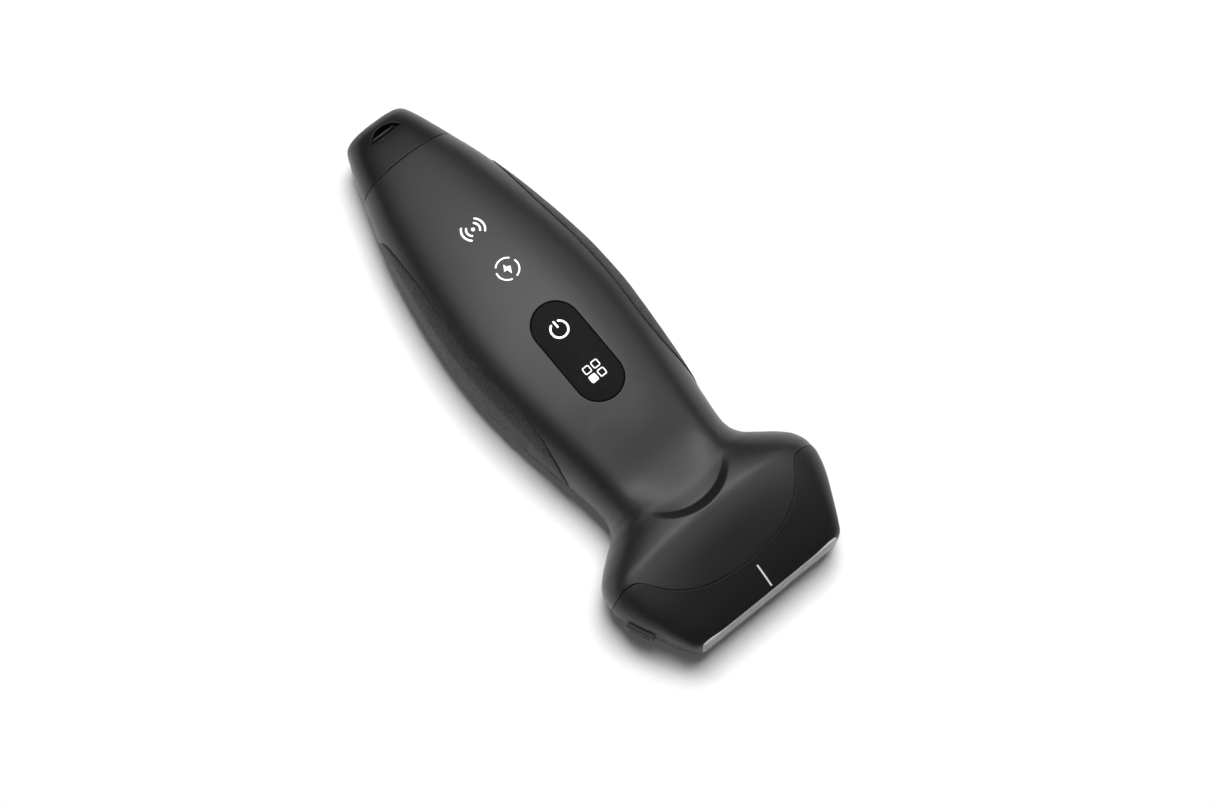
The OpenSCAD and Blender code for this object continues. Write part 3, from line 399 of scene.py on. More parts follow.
def material(name, base, rough, spec=0.5, grain=None, tone=0.0, rough_tone=0.0, metal=0.0, emission=None):
    """A procedural material: base colour with slight mottling, roughness variation and fine grain."""
    m = bpy.data.materials.new(name)
    m.use_nodes = True
    nt = m.node_tree
    nodes, links = nt.nodes, nt.links
    bsdf = nodes["Principled BSDF"]
    bsdf.inputs["Roughness"].default_value = rough
    bsdf.inputs["Metallic"].default_value = metal
    bsdf.inputs["Specular IOR Level"].default_value = spec
    if emission:
        bsdf.inputs["Emission Color"].default_value = (*emission[:3], 1)
        bsdf.inputs["Emission Strength"].default_value = emission[3]
    coords = nodes.new("ShaderNodeTexCoord")
    where = coords.outputs["Object"]
    cloud = nodes.new("ShaderNodeTexNoise")
    cloud.inputs["Scale"].default_value = 160
    cloud.inputs["Detail"].default_value = 3
    links.new(where, cloud.inputs["Vector"])
    ramp = nodes.new("ShaderNodeMapRange")
    ramp.inputs["To Min"].default_value = 1 - tone
    ramp.inputs["To Max"].default_value = 1 + tone
    links.new(cloud.outputs["Fac"], ramp.inputs["Value"])
    shade = nodes.new("ShaderNodeVectorMath")
    shade.operation = "SCALE"
    shade.inputs[0].default_value = base
    links.new(ramp.outputs["Result"], shade.inputs["Scale"])
    links.new(shade.outputs["Vector"], bsdf.inputs["Base Color"])
    fine = nodes.new("ShaderNodeTexNoise")
    fine.inputs["Scale"].default_value = 900
    fine.inputs["Detail"].default_value = 2
    links.new(where, fine.inputs["Vector"])
    dull = nodes.new("ShaderNodeMapRange")
    dull.inputs["To Min"].default_value = rough - rough_tone
    dull.inputs["To Max"].default_value = rough + rough_tone
    links.new(fine.outputs["Fac"], dull.inputs["Value"])
    links.new(dull.outputs["Result"], bsdf.inputs["Roughness"])
    if grain:
        kind, scale, depth = grain
        if kind == "fine":
            tex = nodes.new("ShaderNodeTexNoise")
            tex.inputs["Scale"].default_value = scale
            tex.inputs["Detail"].default_value = 4
            tex.inputs["Roughness"].default_value = 0.6
            links.new(where, tex.inputs["Vector"])
            height = tex.outputs["Fac"]
        else:
            warp = nodes.new("ShaderNodeTexNoise")
            warp.inputs["Scale"].default_value = scale * 0.6
            links.new(where, warp.inputs["Vector"])
            shift = nodes.new("ShaderNodeVectorMath")
            shift.operation = "MULTIPLY_ADD"
            shift.inputs[1].default_value = (0.0006, 0.0006, 0.0006)
            links.new(warp.outputs["Color"], shift.inputs[0])
            links.new(where, shift.inputs[2])
            tex = nodes.new("ShaderNodeTexVoronoi")
            tex.feature = "DISTANCE_TO_EDGE"
            tex.inputs["Scale"].default_value = scale
            links.new(shift.outputs["Vector"], tex.inputs["Vector"])
            curve = nodes.new("ShaderNodeMapRange")
            curve.interpolation_type = "SMOOTHSTEP"
            curve.inputs["From Min"].default_value = 0.0
            curve.inputs["From Max"].default_value = 0.22
            links.new(tex.outputs["Distance"], curve.inputs["Value"])
            height = curve.outputs["Result"]
        bump = nodes.new("ShaderNodeBump")
        bump.inputs["Strength"].default_value = 1.0
        bump.inputs["Distance"].default_value = depth
        links.new(height, bump.inputs["Height"])
        links.new(bump.outputs["Normal"], bsdf.inputs["Normal"])
    return m


SOFT = material("soft_touch", (0.011, 0.011, 0.0113), 0.35, spec=0.5, tone=0.06, rough_tone=0.03,
                grain=("fine", 5200, 0.000012))
CAP = material("satin_cap", (0.006, 0.006, 0.0063), 0.36, spec=0.4, tone=0.05, rough_tone=0.03,
               grain=("fine", 4200, 0.000006))
NOSE = material("nose_black", (0.006, 0.006, 0.0063), 0.42, spec=0.37, tone=0.05, rough_tone=0.03,
                grain=("fine", 5000, 0.00001))
RUBBER = material("grip_leather", (0.008, 0.008, 0.0083), 0.46, spec=0.37, tone=0.1, rough_tone=0.06,
                  grain=("leather", 1250, 0.00016))
LENS = material("lens_silicone", (0.42, 0.424, 0.432), 0.5, spec=0.18, tone=0.03, rough_tone=0.03,
                grain=("fine", 3000, 0.000005))
PAD = material("keypad_black", (0.006, 0.006, 0.0063), 0.38, spec=0.04, tone=0.05, rough_tone=0.02,
               grain=("fine", 3500, 0.000004))
# White print of the centre mark with a faint painted glow: its emission brightens it beyond what the lamps
# give
GLOWING_MARK = material("white_mark_painted_glow", (0.58, 0.58, 0.58), 0.5, spec=0.15, tone=0.03, rough_tone=0.04,
                emission=(1.0, 1.0, 1.0, 0.1))
LIGHT = material("lit_icon", (0.85, 0.86, 0.88), 0.4, spec=0.15, tone=0.02, rough_tone=0.03,
                 emission=(0.96, 0.98, 1.0, 0.55))
DOT = material("dark_dot", (0.002, 0.002, 0.002), 0.5, spec=0.15, tone=0.05, rough_tone=0.03)
DARK = material("seal_black", (0.01, 0.01, 0.01), 0.6, spec=0.4, tone=0.1, rough_tone=0.05,
                grain=("fine", 2500, 0.00002))


# Housing skin

def upper_grid(lower=False):
    """Stations and angles of the shell between the cap's seam and the nose seam."""
    tip_a, tip_b = GRIP_X, GRIP_X + GRIP_L
    us = np.concatenate([
        spread(CAP_X + GAP, tip_a, 0.035, 0.05, 1.1),
        spread(tip_a, tip_b, 0.03, 0.03, 1.1)[1:],
        spread(tip_b, CREST_X - SCOOP_WALL - 1.4, 0.05, 0.3, 0.8)[1:],
        np.linspace(CREST_X - SCOOP_WALL - 1.4, CREST_X + 0.4, 42)[1:]])
    zone = len(us)
    t = 1 - steps(16.0, 0.035, 1.45, 0.8)[::-1] / 16.0
    side = steps(30.0, 0.035, 1.4, 0.9) / 60.0
    v = np.concatenate([side, (1 - side)[::-1][1:]])

    def angles(x):
        first = grip_angle(x, lower)
        return first + v * (np.pi - 2 * first)

    X = np.zeros((len(us) + len(t) - 1, len(v)))
    bend = ease(along(us, NECK_X, CREST_X - SCOOP_WALL))
    start = CREST_X + 0.4
    X[:zone] = us[:, None]
    PHI = angles(X)
    for _ in range(8):
        y = surf(X, PHI, lower)[..., 1]
        s = sag(y)
        if lower:
            s = np.full_like(s, sag(SCOOP_HALF))
        X[:zone] = us[:, None] - bend[:, None] * s[:zone]
        first = start - s[zone:]
        PHI = angles(X)
        last = seam_x(PHI[zone:], lower) - GAP
        X[zone:] = first * (1 - t[1:, None]) + last * t[1:, None]
        PHI = angles(X)
    return X, PHI, zone


def edge_distance(P, curve, reach):
    """Distance of each point to a polyline, up to a reach."""
    tree = KDTree(len(curve))
    for i, c in enumerate(curve):
        tree.insert(c, i)
    tree.balance()
    flat = P.reshape(-1, 3)
    out = np.full(len(flat), 9.0)
    lo, hi = curve.min(0) - reach, curve.max(0) + reach
    near = np.nonzero(np.all((flat > lo) & (flat < hi), 1))[0]
    for k in near:
        _, i, d = tree.find(flat[k])
        if d > reach * 3:
            continue
        best = d
        for a, b in ((i - 1, i), (i, i + 1)):
            if a < 0 or b >= len(curve):
                continue
            ab = curve[b] - curve[a]
            t = np.clip(np.dot(flat[k] - curve[a], ab) / max(np.dot(ab, ab), 1e-12), 0, 1)
            best = min(best, float(np.linalg.norm(flat[k] - curve[a] - ab * t)))
        out[k] = best
    return out.reshape(P.shape[:-1])


def shell_piece(name, material, lower, holes, replaces):
    X, PHI, zone = upper_grid(lower)
    P = surf(X, PHI, lower)
    N = surf_normal(X, PHI, lower)
    rim = np.concatenate([P[0, :], P[:, -1][1:], P[-1, ::-1][1:], P[::-1, 0][1:]])
    d = np.full(P.shape[:-1], 9.0)
    band = np.zeros(P.shape[:-1], bool)
    band[:10, :] = band[-10:, :] = True
    band[:, :12] = band[:, -12:] = True
    d[band] = edge_distance(P[band], rim, LIP_R * 1.5)
    Q = P - N * lip(d, LIP_R)[..., None]
    shape = Shape()
    I = shape.points(Q)
    keep = np.ones((I.shape[0] - 1, I.shape[1] - 1), bool)
    rects = []
    for centre, reach, loops, walls in holes:
        i0 = int(np.searchsorted(X[:, X.shape[1] // 2][:zone], centre[0] - reach[0])) - 1
        i1 = int(np.searchsorted(X[:, X.shape[1] // 2][:zone], centre[0] + reach[0]))
        mid = (i0 + i1) // 2
        ys = P[mid, :, 1]
        js = np.nonzero((ys > centre[1] - reach[1]) & (ys < centre[1] + reach[1]))[0]
        j0, j1 = max(js[0] - 1, 0), min(js[-1] + 1, len(ys) - 1)
        keep[i0:i1, j0:j1] = False
        rects.append((i0, i1, j0, j1, loops, walls))
    flip = lower
    shape.sheet(I, flip, keep)
    for i0, i1, j0, j1, loops, walls in rects:
        outer = np.concatenate([I[i0:i1, j0], I[i1, j0:j1], I[i1:i0:-1, j1], I[i0, j1:j0:-1]])
        last = outer
        for k, ring in enumerate(loops):
            z = skin_z(ring[:, 0], ring[:, 1], lower)
            off = walls[k]
            z = z + off if lower else z - off
            idx = shape.points(np.column_stack([ring[:, 0], ring[:, 1], z]))
            if k == 0:
                if area_sign(shape, outer) != area_sign(shape, idx):
                    outer = outer[::-1]
                shape.zip(outer, idx, flip=(area_sign(shape, idx) > 0) == lower)
            else:
                shape.band(last, idx, flip=(area_sign(shape, idx) > 0) == lower)
            last = idx
    # The edges turn in
    for line, nn in ((I[0], N[0]), (I[-1], N[-1]), (I[:, 0], N[:, 0]), (I[:, -1], N[:, -1])):
        shape.turn_in(line, nn, TURN_IN)
    return shape.make(name, material, "housing", replaces, merge=True)


def area_sign(shape, loop):
    p = shape.position()[loop]
    x, y = p[:, 0], p[:, 1]
    return 1 if np.sum(x * np.roll(y, -1) - y * np.roll(x, -1)) > 0 else -1


def pill_loop(cx, cy, length, width, n=160):
    """Closed outline of a pill along X, counter-clockwise."""
    r = width / 2
    straight = length - width
    total = 2 * straight + 2 * math.pi * r
    out = []
    for k in range(n):
        s = total * k / n
        if s < straight / 2:
            out.append((s, -r))
        elif s < straight / 2 + math.pi * r:
            a = (s - straight / 2) / r - math.pi / 2
            out.append((straight / 2 + r * math.cos(a), r * math.sin(a)))
        elif s < 1.5 * straight + math.pi * r:
            out.append((straight / 2 - (s - straight / 2 - math.pi * r), r))
        elif s < 1.5 * straight + 2 * math.pi * r:
            a = (s - 1.5 * straight - math.pi * r) / r + math.pi / 2
            out.append((-straight / 2 + r * math.cos(a), r * math.sin(a)))
        else:
            out.append((-straight / 2 + (s - 1.5 * straight - 2 * math.pi * r), -r))
    return np.array(out) + (cx, cy)


def pill_hole(cx, cy, length, width, depth, r=0.25, n=160, extra=1.2):
    """Loops from outside in, with how far each lies below the skin."""
    offs = [extra * k for k in (1, 0.7, 0.5, 0.36)] + [r * k for k in (1, 0.75, 0.5, 0.3, 0.13, 0.03, 0)]
    loops = [pill_loop(cx, cy, length + 2 * o, width + 2 * o, n) for o in offs]
    walls = [float(lip(o, r)) for o in offs]
    for w in (r + 0.1, depth * 0.5, depth):
        loops.append(pill_loop(cx, cy, length, width, n))
        walls.append(w)
    return loops, walls


KEY_LOOPS, KEY_WALLS = pill_hole(KEYPAD_X, 0, KEYPAD_L + 0.1, KEYPAD_W + 0.1, 1.5, r=0.3, n=220)
upper_holes = [((KEYPAD_X, 0), (KEYPAD_L / 2 + 2.2, KEYPAD_W / 2 + 2.2), KEY_LOOPS, KEY_WALLS)]
shell_piece("upper_shell_skin", SOFT, False, upper_holes, ["upper_shell"])

lower_holes = []
for sx in SCREW_XS:
    sy = float(half_at(np.array(sx))) - SCREW_INSET
    for sign in (-1, 1):
        loops, walls = pill_hole(sx, sign * sy, SCREW_HOLE + 0.0001, SCREW_HOLE, 4.0,
                                 r=0.25, n=64, extra=0.6)
        lower_holes.append(((sx, sign * sy), (3.2, 3.2), loops, walls))
shell_piece("lower_shell_skin", SOFT, True, lower_holes, ["lower_shell"])


# Nose housing
def nose_piece():
    shape = Shape()
    up = np.linspace(0, np.pi, 221)
    t = np.concatenate([steps(8.0, 0.035, 1.4, 0.55) / 16.0,
                        1 - steps(8.0, 0.02, 1.25, 0.45)[::-1][1:] / 16.0])
    rows, norms = [], []
    for lower in (False, True):
        first = seam_x(up, lower) + GAP
        X = first[None, :] * (1 - t[:, None]) + FRONT_X * t[:, None]
        P = surf(X, up, lower)
        N = surf_normal(X, up, lower)
        if lower:
            P, N = P[:, ::-1], N[:, ::-1]
        rows.append(P)
        norms.append(N)
    P = np.concatenate([rows[0], rows[1][:, 1:-1]], 1)
    N = np.concatenate([norms[0], norms[1][:, 1:-1]], 1)
    rim = np.concatenate([P[0], P[0][:1]])
    d = np.full(P.shape[:-1], 9.0)
    d[:10] = edge_distance(P[:10], rim, LIP_R * 1.5)
    Q = P - N * lip(d, LIP_R)[..., None]
    I = shape.points(Q)
    J = np.concatenate([I, I[:, :1]], 1)
    shape.sheet(J)
    deep = shape.points(Q[0] - N[0] * TURN_IN)
    shape.band(I[0], deep)
    # The front face runs in behind the lens
    face = Q[-1]
    last = I[-1]
    for share, back in ((0.985, 0.02), (0.96, 0.3), (0.5, 0.3), (0.02, 0.3)):
        p = face.copy()
        p[:, 1] *= share
        p[:, 2] = LENS_Z + (p[:, 2] - LENS_Z) * share
        p[:, 0] -= back
        idx = shape.points(p)
        shape.band(last, idx)
        last = idx
    return shape.make("nose_skin", NOSE, "housing", ["nose_housing"], merge=True)


nose_piece()


# Tail cap with its lanyard recess
RECESS_A, RECESS_R = TAIL_X + 3.7, 5.3
RECESS_C = RECESS_A + RECESS_R
SLIT = RECESS_A + 0.8
LEDGE = SLIT + 0.5
SLOPE_END = RECESS_A + 3.4
LEDGE_DEPTH = 3.0
TAIL_MIDDLE_Z = 10.6


def recess_floor(x):
    """Height of the recess's ledge and slope, with soft turns."""
    high = float(skin_z(np.array(SLOPE_END), np.array(0.0)))
    return high - LEDGE_DEPTH + LEDGE_DEPTH * np.clip((x - LEDGE) / (SLOPE_END - LEDGE), 0, 2)


def cap_piece():
    shape = Shape()
    n_side = 160
    xs = np.concatenate([
        TAIL_X + steps(1.2, 0.0015, 1.55, 0.15), spread(TAIL_X + 1.2, CAP_X - GAP, 0.2, 0.03, 0.45)[1:]])
    up = np.linspace(0, np.pi, n_side + 1)
    rows, norms = [], []
    for lower in (False, True):
        X, PHI = np.meshgrid(xs, up, indexing="ij")
        P, N = surf(X, PHI, lower), surf_normal(X, PHI, lower)
        if lower:
            P, N = P[:, ::-1], N[:, ::-1]
        rows.append(P)
        norms.append(N)
    P = np.concatenate([rows[0], rows[1][:, 1:-1]], 1)
    N = np.concatenate([norms[0], norms[1][:, 1:-1]], 1)
    d = np.full(P.shape[:-1], 9.0)
    d[-10:] = np.abs(CAP_X - GAP - P[-10:, :, 0])
    Q = P - N * lip(d, LIP_R)[..., None]
    I = shape.points(Q)
    keep = np.ones((I.shape[0] - 1, I.shape[1]), bool)
    i0 = int(np.searchsorted(xs, RECESS_A - 0.9))
    i1 = int(np.searchsorted(xs, SLOPE_END + 1.6))
    mid = (i0 + i1) // 2
    js = np.nonzero(np.abs(P[mid, :n_side + 1, 1]) < RECESS_R + 0.8)[0]
    j0, j1 = int(js[0]), int(js[-1])
    keep[i0:i1, j0:j1] = False
    J = np.concatenate([I, I[:, :1]], 1)
    shape.sheet(J, keep=keep)
    deep = shape.points(Q[-1] - N[-1] * TURN_IN)
    shape.band(deep, I[-1])
    # The blunt end
    last, face = I[0], Q[0]
    for share in (0.93, 0.6, 0.3, 0.02):
        p = face.copy()
        p[:, 1] *= share
        p[:, 2] = TAIL_MIDDLE_Z + (p[:, 2] - TAIL_MIDDLE_Z) * share
        idx = shape.points(p)
        shape.band(idx, last)
        last = idx
    # Outline of the recess: a curved wall at the tail side, a shallow curve in front
    ang = np.radians(np.linspace(0, 72, 40))
    xa = RECESS_C - RECESS_R * np.cos(ang)
    ya = RECESS_R * np.sin(ang)
    fr = np.linspace(0, 1, 14)[1:]
    xb = xa[-1] + (SLOPE_END + 0.7 - xa[-1]) * np.sin(fr * math.pi / 2)
    yb = ya[-1] * np.cos(fr * math.pi / 2)
    rx = np.concatenate([xa, xb])
    ry = np.concatenate([ya, yb])
    extra = np.array([SLIT - 0.01, SLIT + 0.01, SLIT + 0.08, SLIT + 0.2, LEDGE - 0.15, LEDGE, LEDGE + 0.15])
    ex = np.concatenate([rx, extra])
    ey = np.concatenate([ry, np.interp(extra, rx, ry)])
    order = np.argsort(ex)
    rx, ry = ex[order], ey[order]
    top = np.column_stack([rx, ry])
    bottom = np.column_stack([rx, -ry])[1:-1][::-1]
    B = np.concatenate([top, bottom])
    tangent = np.roll(B, -1, 0) - np.roll(B, 1, 0)
    tangent /= np.linalg.norm(tangent, axis=1, keepdims=True)
    outn = np.column_stack([-tangent[:, 1], tangent[:, 0]])
    if np.sum(outn * (B - (RECESS_A + 2, 0))) < 0:
        outn = -outn
    high = skin_z(B[:, 0], B[:, 1])
    wall = np.clip(high - np.minimum(recess_floor(B[:, 0]), high), 0, None)
    r = np.minimum(0.3, wall * 0.6)
    outer = np.concatenate([I[i0:i1, j0], I[i1, j0:j1], I[i1:i0:-1, j1], I[i0, j1:j0:-1]])
    last = None
    for o in (0.6, 0.4, 0.3, 0.22, 0.15, 0.09, 0.045, 0.015, 0.0):
        ring = B + outn * o
        z = skin_z(ring[:, 0], ring[:, 1]) - lip(np.minimum(o, r), np.maximum(r, 1e-6)) * (r > 0)
        idx = shape.points(np.column_stack([ring, z]))
        if last is None:
            if area_sign(shape, outer) != area_sign(shape, idx):
                outer = outer[::-1]
            shape.zip(outer, idx)
        else:
            shape.band(last, idx)
        last = idx
    # Floor rows across the recess
    w = np.linspace(1, -1, 13)
    FX = np.repeat(rx[:, None], len(w), 1)
    FY = ry[:, None] * w[None, :]
    sk = skin_z(FX, FY)
    fl = recess_floor(FX)
    k = 0.25
    soft = -k * np.log(np.exp(-sk / k) + np.exp(-fl / k))
    FZ = np.where(FX > SLIT, np.minimum(soft, sk), fl - 9.0)
    edge_lip = np.where(FX > SLIT, lip(FX - SLIT, 0.2), 0)
    FZ = FZ - edge_lip
    F = shape.points(np.stack([FX, FY, FZ], -1))
    shape.sheet(F)
    # Wall between the rim and the floor
    rim = last
    floor_loop = np.concatenate([F[:, 0], F[1:-1, -1][::-1]])
    shape.band(rim, floor_loop)
    return shape.make("tail_cap_skin", CAP, "housing", ["tail_cap"], merge=True)


cap_piece()


# Side grips
def grip_piece(name, side, node):
    shape = Shape()
    xs = spread(GRIP_X + 0.02, GRIP_X + GRIP_L - 0.02, 0.02, 0.02, 0.7)
    s0, s1 = GRIP_SLOT_X
    near = [s0 - 0.02, s0 + 0.02, s1 - 0.02, s1 + 0.02]
    xs = np.unique(np.concatenate([xs[(np.abs(xs - s0) > 0.1) & (np.abs(xs - s1) > 0.1)], near]))
    e = steps(0.5, 0.004, 1.4, 0.05)
    t = np.concatenate([-1 + e, (1 - e)[::-1][1:]])
    slot_a, slot_b = GRIP_SLOT_SHARE
    t = t[(np.abs(t - slot_a) > 0.012) & (np.abs(t - slot_b) > 0.012)]
    t = np.unique(np.concatenate([t, [slot_a - 0.004, slot_a + 0.004, slot_b - 0.004, slot_b + 0.004]]))
    X = np.repeat(xs[:, None], len(t), 1)
    T = np.repeat(t[None, :], len(xs), 0)
    up = grip_angle(X, False) * np.maximum(T, 0)
    low = grip_angle(X, True) * np.maximum(-T, 0)
    P = np.where(T[..., None] >= 0, surf(X, up, False), surf(X, low, True))
    N = np.where(T[..., None] >= 0, surf_normal(X, np.maximum(up, 1e-3), False),
                 surf_normal(X, np.maximum(low, 1e-3), True))
    rim = np.concatenate([P[:, 0], P[::-1, -1][1:], P[:1, 0]])
    d = edge_distance(P, rim, 0.7)
    off = GRIP_PROUD - lip(np.maximum(d - 0.05, 0), GRIP_LIP)
    inside = (X > s0) & (X < s1) & (T > slot_a) & (T < slot_b)
    off = np.where(inside, -GRIP_SLOT_DEPTH, off)
    Q = P + N * off[..., None]
    Q[..., 2] = np.maximum(Q[..., 2], 0)
    if side < 0:
        Q[..., 1] *= -1
        N = N * (1, -1, 1)
    I = shape.points(Q)
    shape.sheet(I)
    for line, nn in ((I[:, 0], N[:, 0]), (I[:, -1], N[:, -1])):
        shape.turn_in(line, nn, GRIP_TURN_IN)
    return shape.make(name, RUBBER, "housing", [node], merge=True)


grip_piece("left_grip_rubber", 1, "left_grip")
grip_piece("right_grip_rubber", -1, "right_grip")


# Lens strip
def lens_piece():
    shape = Shape()
    a = np.linspace(0, 2 * np.pi, 241)[:-1]
    c, s = np.cos(a), np.sin(a)
    k = (np.abs(c) ** LENS_SQUARE + np.abs(s) ** LENS_SQUARE) ** (-1 / LENS_SQUARE)
    last = None
    for inset in (0.0, 0.0, 0.02, 0.06, 0.12, 0.2, 0.3, 0.6, 1.1, 1.8, 2.7, 3.6, 4.5, 4.9):
        y = c * k * (LENS_HALF_W - inset)
        z = s * k * (LENS_HALF_H - inset)
        crown = (LENS_BULGE - LENS_EDGE) * (1 - (z / LENS_HALF_H) ** 2)
        rim = FRONT_X + LENS_EDGE - lip(np.minimum(inset, LENS_EDGE), LENS_EDGE)
        x = rim + crown * ease(along(inset, 0, 1.1))
        if last is None:
            x = np.full(len(a), FRONT_X - 0.4)
        idx = shape.points(np.column_stack([x, y, LENS_Z + z]))
        if last is not None:
            shape.band(last, idx)
        last = idx
    shape.faces.append([int(i) for i in last])
    return shape.make("lens_strip", LENS, "housing", ["acoustic_lens"], merge=True)


lens_piece()


# Marker ridge: two ribs with a groove between them
def ridge_piece():
    a = float(half_at(np.array(RIDGE_X - RIDGE_L / 2)))
    b = float(half_at(np.array(RIDGE_X + RIDGE_L / 2)))
    turn = math.atan((a - b) / RIDGE_L)
    base = float(half_at(np.array(RIDGE_X)))
    shape = Shape()
    half_l, half_h = RIDGE_L / 2, RIDGE_H / 2
    us, vs = steps(half_l, 0.03, 1.5, 0.4), steps(half_h, 0.03, 1.5, 0.12)
    us = np.concatenate([-half_l + us, (half_l - us)[::-1][1:]])
    vs = np.concatenate([-half_h + vs, (half_h - vs)[::-1][1:]])
    U, V = np.meshgrid(us, vs, indexing="ij")
    edge = np.minimum(half_l - np.abs(U), half_h - np.abs(V))
    groove = np.clip(1 - (V / GROOVE_HALF) ** 2, 0, 1)
    groove_end = np.clip((half_l - 0.7 - np.abs(U)) / 0.3, 0, 1)
    h = RIDGE_PROUD - lip(edge, RIDGE_LIP) - GROOVE_DEPTH * groove * ease(groove_end)
    idx = shape.points(np.stack([U, -h, V], -1))
    shape.sheet(idx, flip=True)
    loop = np.concatenate([idx[:-1, 0], idx[-1, :-1], idx[:0:-1, -1], idx[0, :0:-1]])
    p = shape.position()[loop].copy()
    p[:, 1] = 0.8
    deep = shape.points(p)
    shape.band(loop, deep)
    pts = shape.position()
    ct, st = math.cos(turn), math.sin(turn)
    shape.chunks = [np.column_stack([RIDGE_X + pts[:, 0] * ct - pts[:, 1] * st,
                                     -base + pts[:, 0] * st + pts[:, 1] * ct, RIDGE_Z + pts[:, 2]])]
    return shape.make("marker_ridge", NOSE, "housing", ["orientation_ridge"], merge=True)


ridge_piece()


# Keypad
def pad_z(x, y, lift=0.0):
    return skin_z(np.asarray(x, float), np.asarray(y, float)) - KEYPAD_DROP + lift


def plan_piece(name, material, body, replaces, loops, depth, holes=(), pitch=0.5):
    """A piece over a region in plan: loops from outside in as (outline, sinking), and round holes."""
    pts, edges = [], []

    def add(loop):
        k = len(pts)
        pts.extend([tuple(p) for p in loop])
        edges.extend([(k + i, k + (i + 1) % len(loop)) for i in range(len(loop))])
        return list(range(k, k + len(loop)))
    drops = []
    for loop, drop in loops:
        add(loop)
        drops += [drop] * len(loop)
    hole_ids = []
    for cx, cy, r in holes:
        a = np.linspace(0, 2 * np.pi, 129)[:-1]
        hole_ids.append(add(np.column_stack([cx + r * np.cos(a), cy + r * np.sin(a)])))
        drops += [0.0] * 128
    inner = loops[-1][0]
    lo, hi = inner.min(0), inner.max(0)
    tree = KDTree(len(pts))
    for i, p in enumerate(pts):
        tree.insert((p[0], p[1], 0), i)
    tree.balance()
    gx, gy = np.meshgrid(np.arange(lo[0], hi[0], pitch), np.arange(lo[1], hi[1], pitch))
    for x, y in zip(gx.ravel(), gy.ravel()):
        if inside_loop(inner, x, y) and tree.find((x, y, 0))[2] > pitch * 0.45 \
                and all(math.hypot(x - cx, y - cy) > r for cx, cy, r in holes):
            pts.append((x, y))
            drops.append(0.0)
    out = delaunay_2d_cdt([Vector(p) for p in pts], edges, [], 0, 1e-6)
    vs, fs, origin = out[0], out[2], out[3]
    drop = np.array([drops[o[0]] if o else 0.0 for o in origin])
    P = np.array([(v.x, v.y) for v in vs])
    shape = Shape()
    shape.points(np.column_stack([P, pad_z(P[:, 0], P[:, 1]) - drop]))
    outer = loops[0][0]
    for f in fs:
        c = P[list(f)].mean(0)
        in_hole = any(math.hypot(c[0] - cx, c[1] - cy) < r for cx, cy, r in holes)
        if in_hole or not inside_loop(outer, c[0], c[1]):
            continue
        shape.faces.append([int(i) for i in f])
    back = {}
    for i, o in enumerate(origin):
        for k in o:
            back[k] = i
    walls = [list(range(len(outer)))] + hole_ids
    for k, wall in enumerate(walls):
        ids = np.array([back[i] for i in wall])
        p = shape.position()[ids].copy()
        edge = shape.points(p)
        p[:, 2] -= depth
        deep = shape.points(p)
        shape.band(edge, deep, flip=k == 0)
    return shape.make(name, material, body, replaces, merge=False)


def inside_loop(loop, x, y):
    x0, y0 = loop[:, 0], loop[:, 1]
    x1, y1 = np.roll(x0, -1), np.roll(y0, -1)
    cross = ((y0 > y) != (y1 > y)) & (x < (x1 - x0) * (y - y0) / np.where(y1 == y0, 1e-12, y1 - y0) + x0)
    return bool(np.sum(cross) % 2)


def circle(cx, cy, r, n=128):
    a = np.linspace(0, 2 * np.pi, n + 1)[:-1]
    return np.column_stack([cx + r * np.cos(a), cy + r * np.sin(a)])


pad_r = 0.3
pad_loops = [(pill_loop(KEYPAD_X, 0, KEYPAD_L - 2 * o, KEYPAD_W - 2 * o, 220), float(lip(o, pad_r)))
             for o in (0.0, 0.02, 0.06, 0.12, 0.2, 0.3, 0.45)]
plan_piece("keypad_skin", PAD, "housing", ["keypad_plate"], pad_loops, 1.2,
           holes=[(POWER_X, 0, POWER_R), (MODE_X, 0, MODE_R)])
for name, x, r in (("power", POWER_X, POWER_R), ("mode", MODE_X, MODE_R)):
    rings = [(circle(x, 0, r - o), 0.0) for o in (0.0, 0.15)]
    plan_piece(name + "_key_cap", PAD, name + "_key", [name + "_key"], rings, 1.0)


# Symbols, each a thin print that follows the surface under it
def print_piece(name, material, body, parts, z_at):
    shape = Shape()
    for verts, faces in parts:
        z = z_at(verts[:, 0], verts[:, 1])
        k = shape.points(np.column_stack([verts, z]))
        for f in faces:
            shape.faces.append([int(k[i]) for i in f])
    return shape.make(name, material, body)


def stroke(path, width, closed=False, caps=True):
    path = np.asarray(path, float)
    if closed:
        t = np.roll(path, -1, 0) - np.roll(path, 1, 0)
    else:
        t = np.gradient(path, axis=0)
    t /= np.linalg.norm(t, axis=1, keepdims=True)
    n = np.column_stack([-t[:, 1], t[:, 0]])
    w = np.array([-0.5, -0.25, 0, 0.25, 0.5]) * width
    rows = path[:, None, :] + n[:, None, :] * w[None, :, None]
    verts = [p for row in rows for p in row]
    faces = []
    m, k = len(path), len(w)
    for i in range(m if closed else m - 1):
        j = (i + 1) % m
        for q in range(k - 1):
            faces.append((i * k + q, j * k + q, j * k + q + 1, i * k + q + 1))
    if caps and not closed:
        for end, sign in ((0, -1), (m - 1, 1)):
            a0 = math.atan2(t[end][1], t[end][0]) + (math.pi if sign < 0 else 0)
            base = len(verts)
            fan = [path[end] + width / 2 * np.array([math.cos(a0 + b), math.sin(a0 + b)])
                   for b in np.linspace(-math.pi / 2, math.pi / 2, 13)]
            verts += fan + [path[end]]
            for q in range(12):
                faces.append((base + 13, base + q, base + q + 1))
    return np.array(verts), fix(np.array(verts), faces)


def fix(v, faces):
    out = []
    for f in faces:
        p = v[list(f)]
        x, y = p[:, 0], p[:, 1]
        area = np.sum(x * np.roll(y, -1) - y * np.roll(x, -1))
        out.append(tuple(f) if area > 0 else tuple(f)[::-1])
    return out


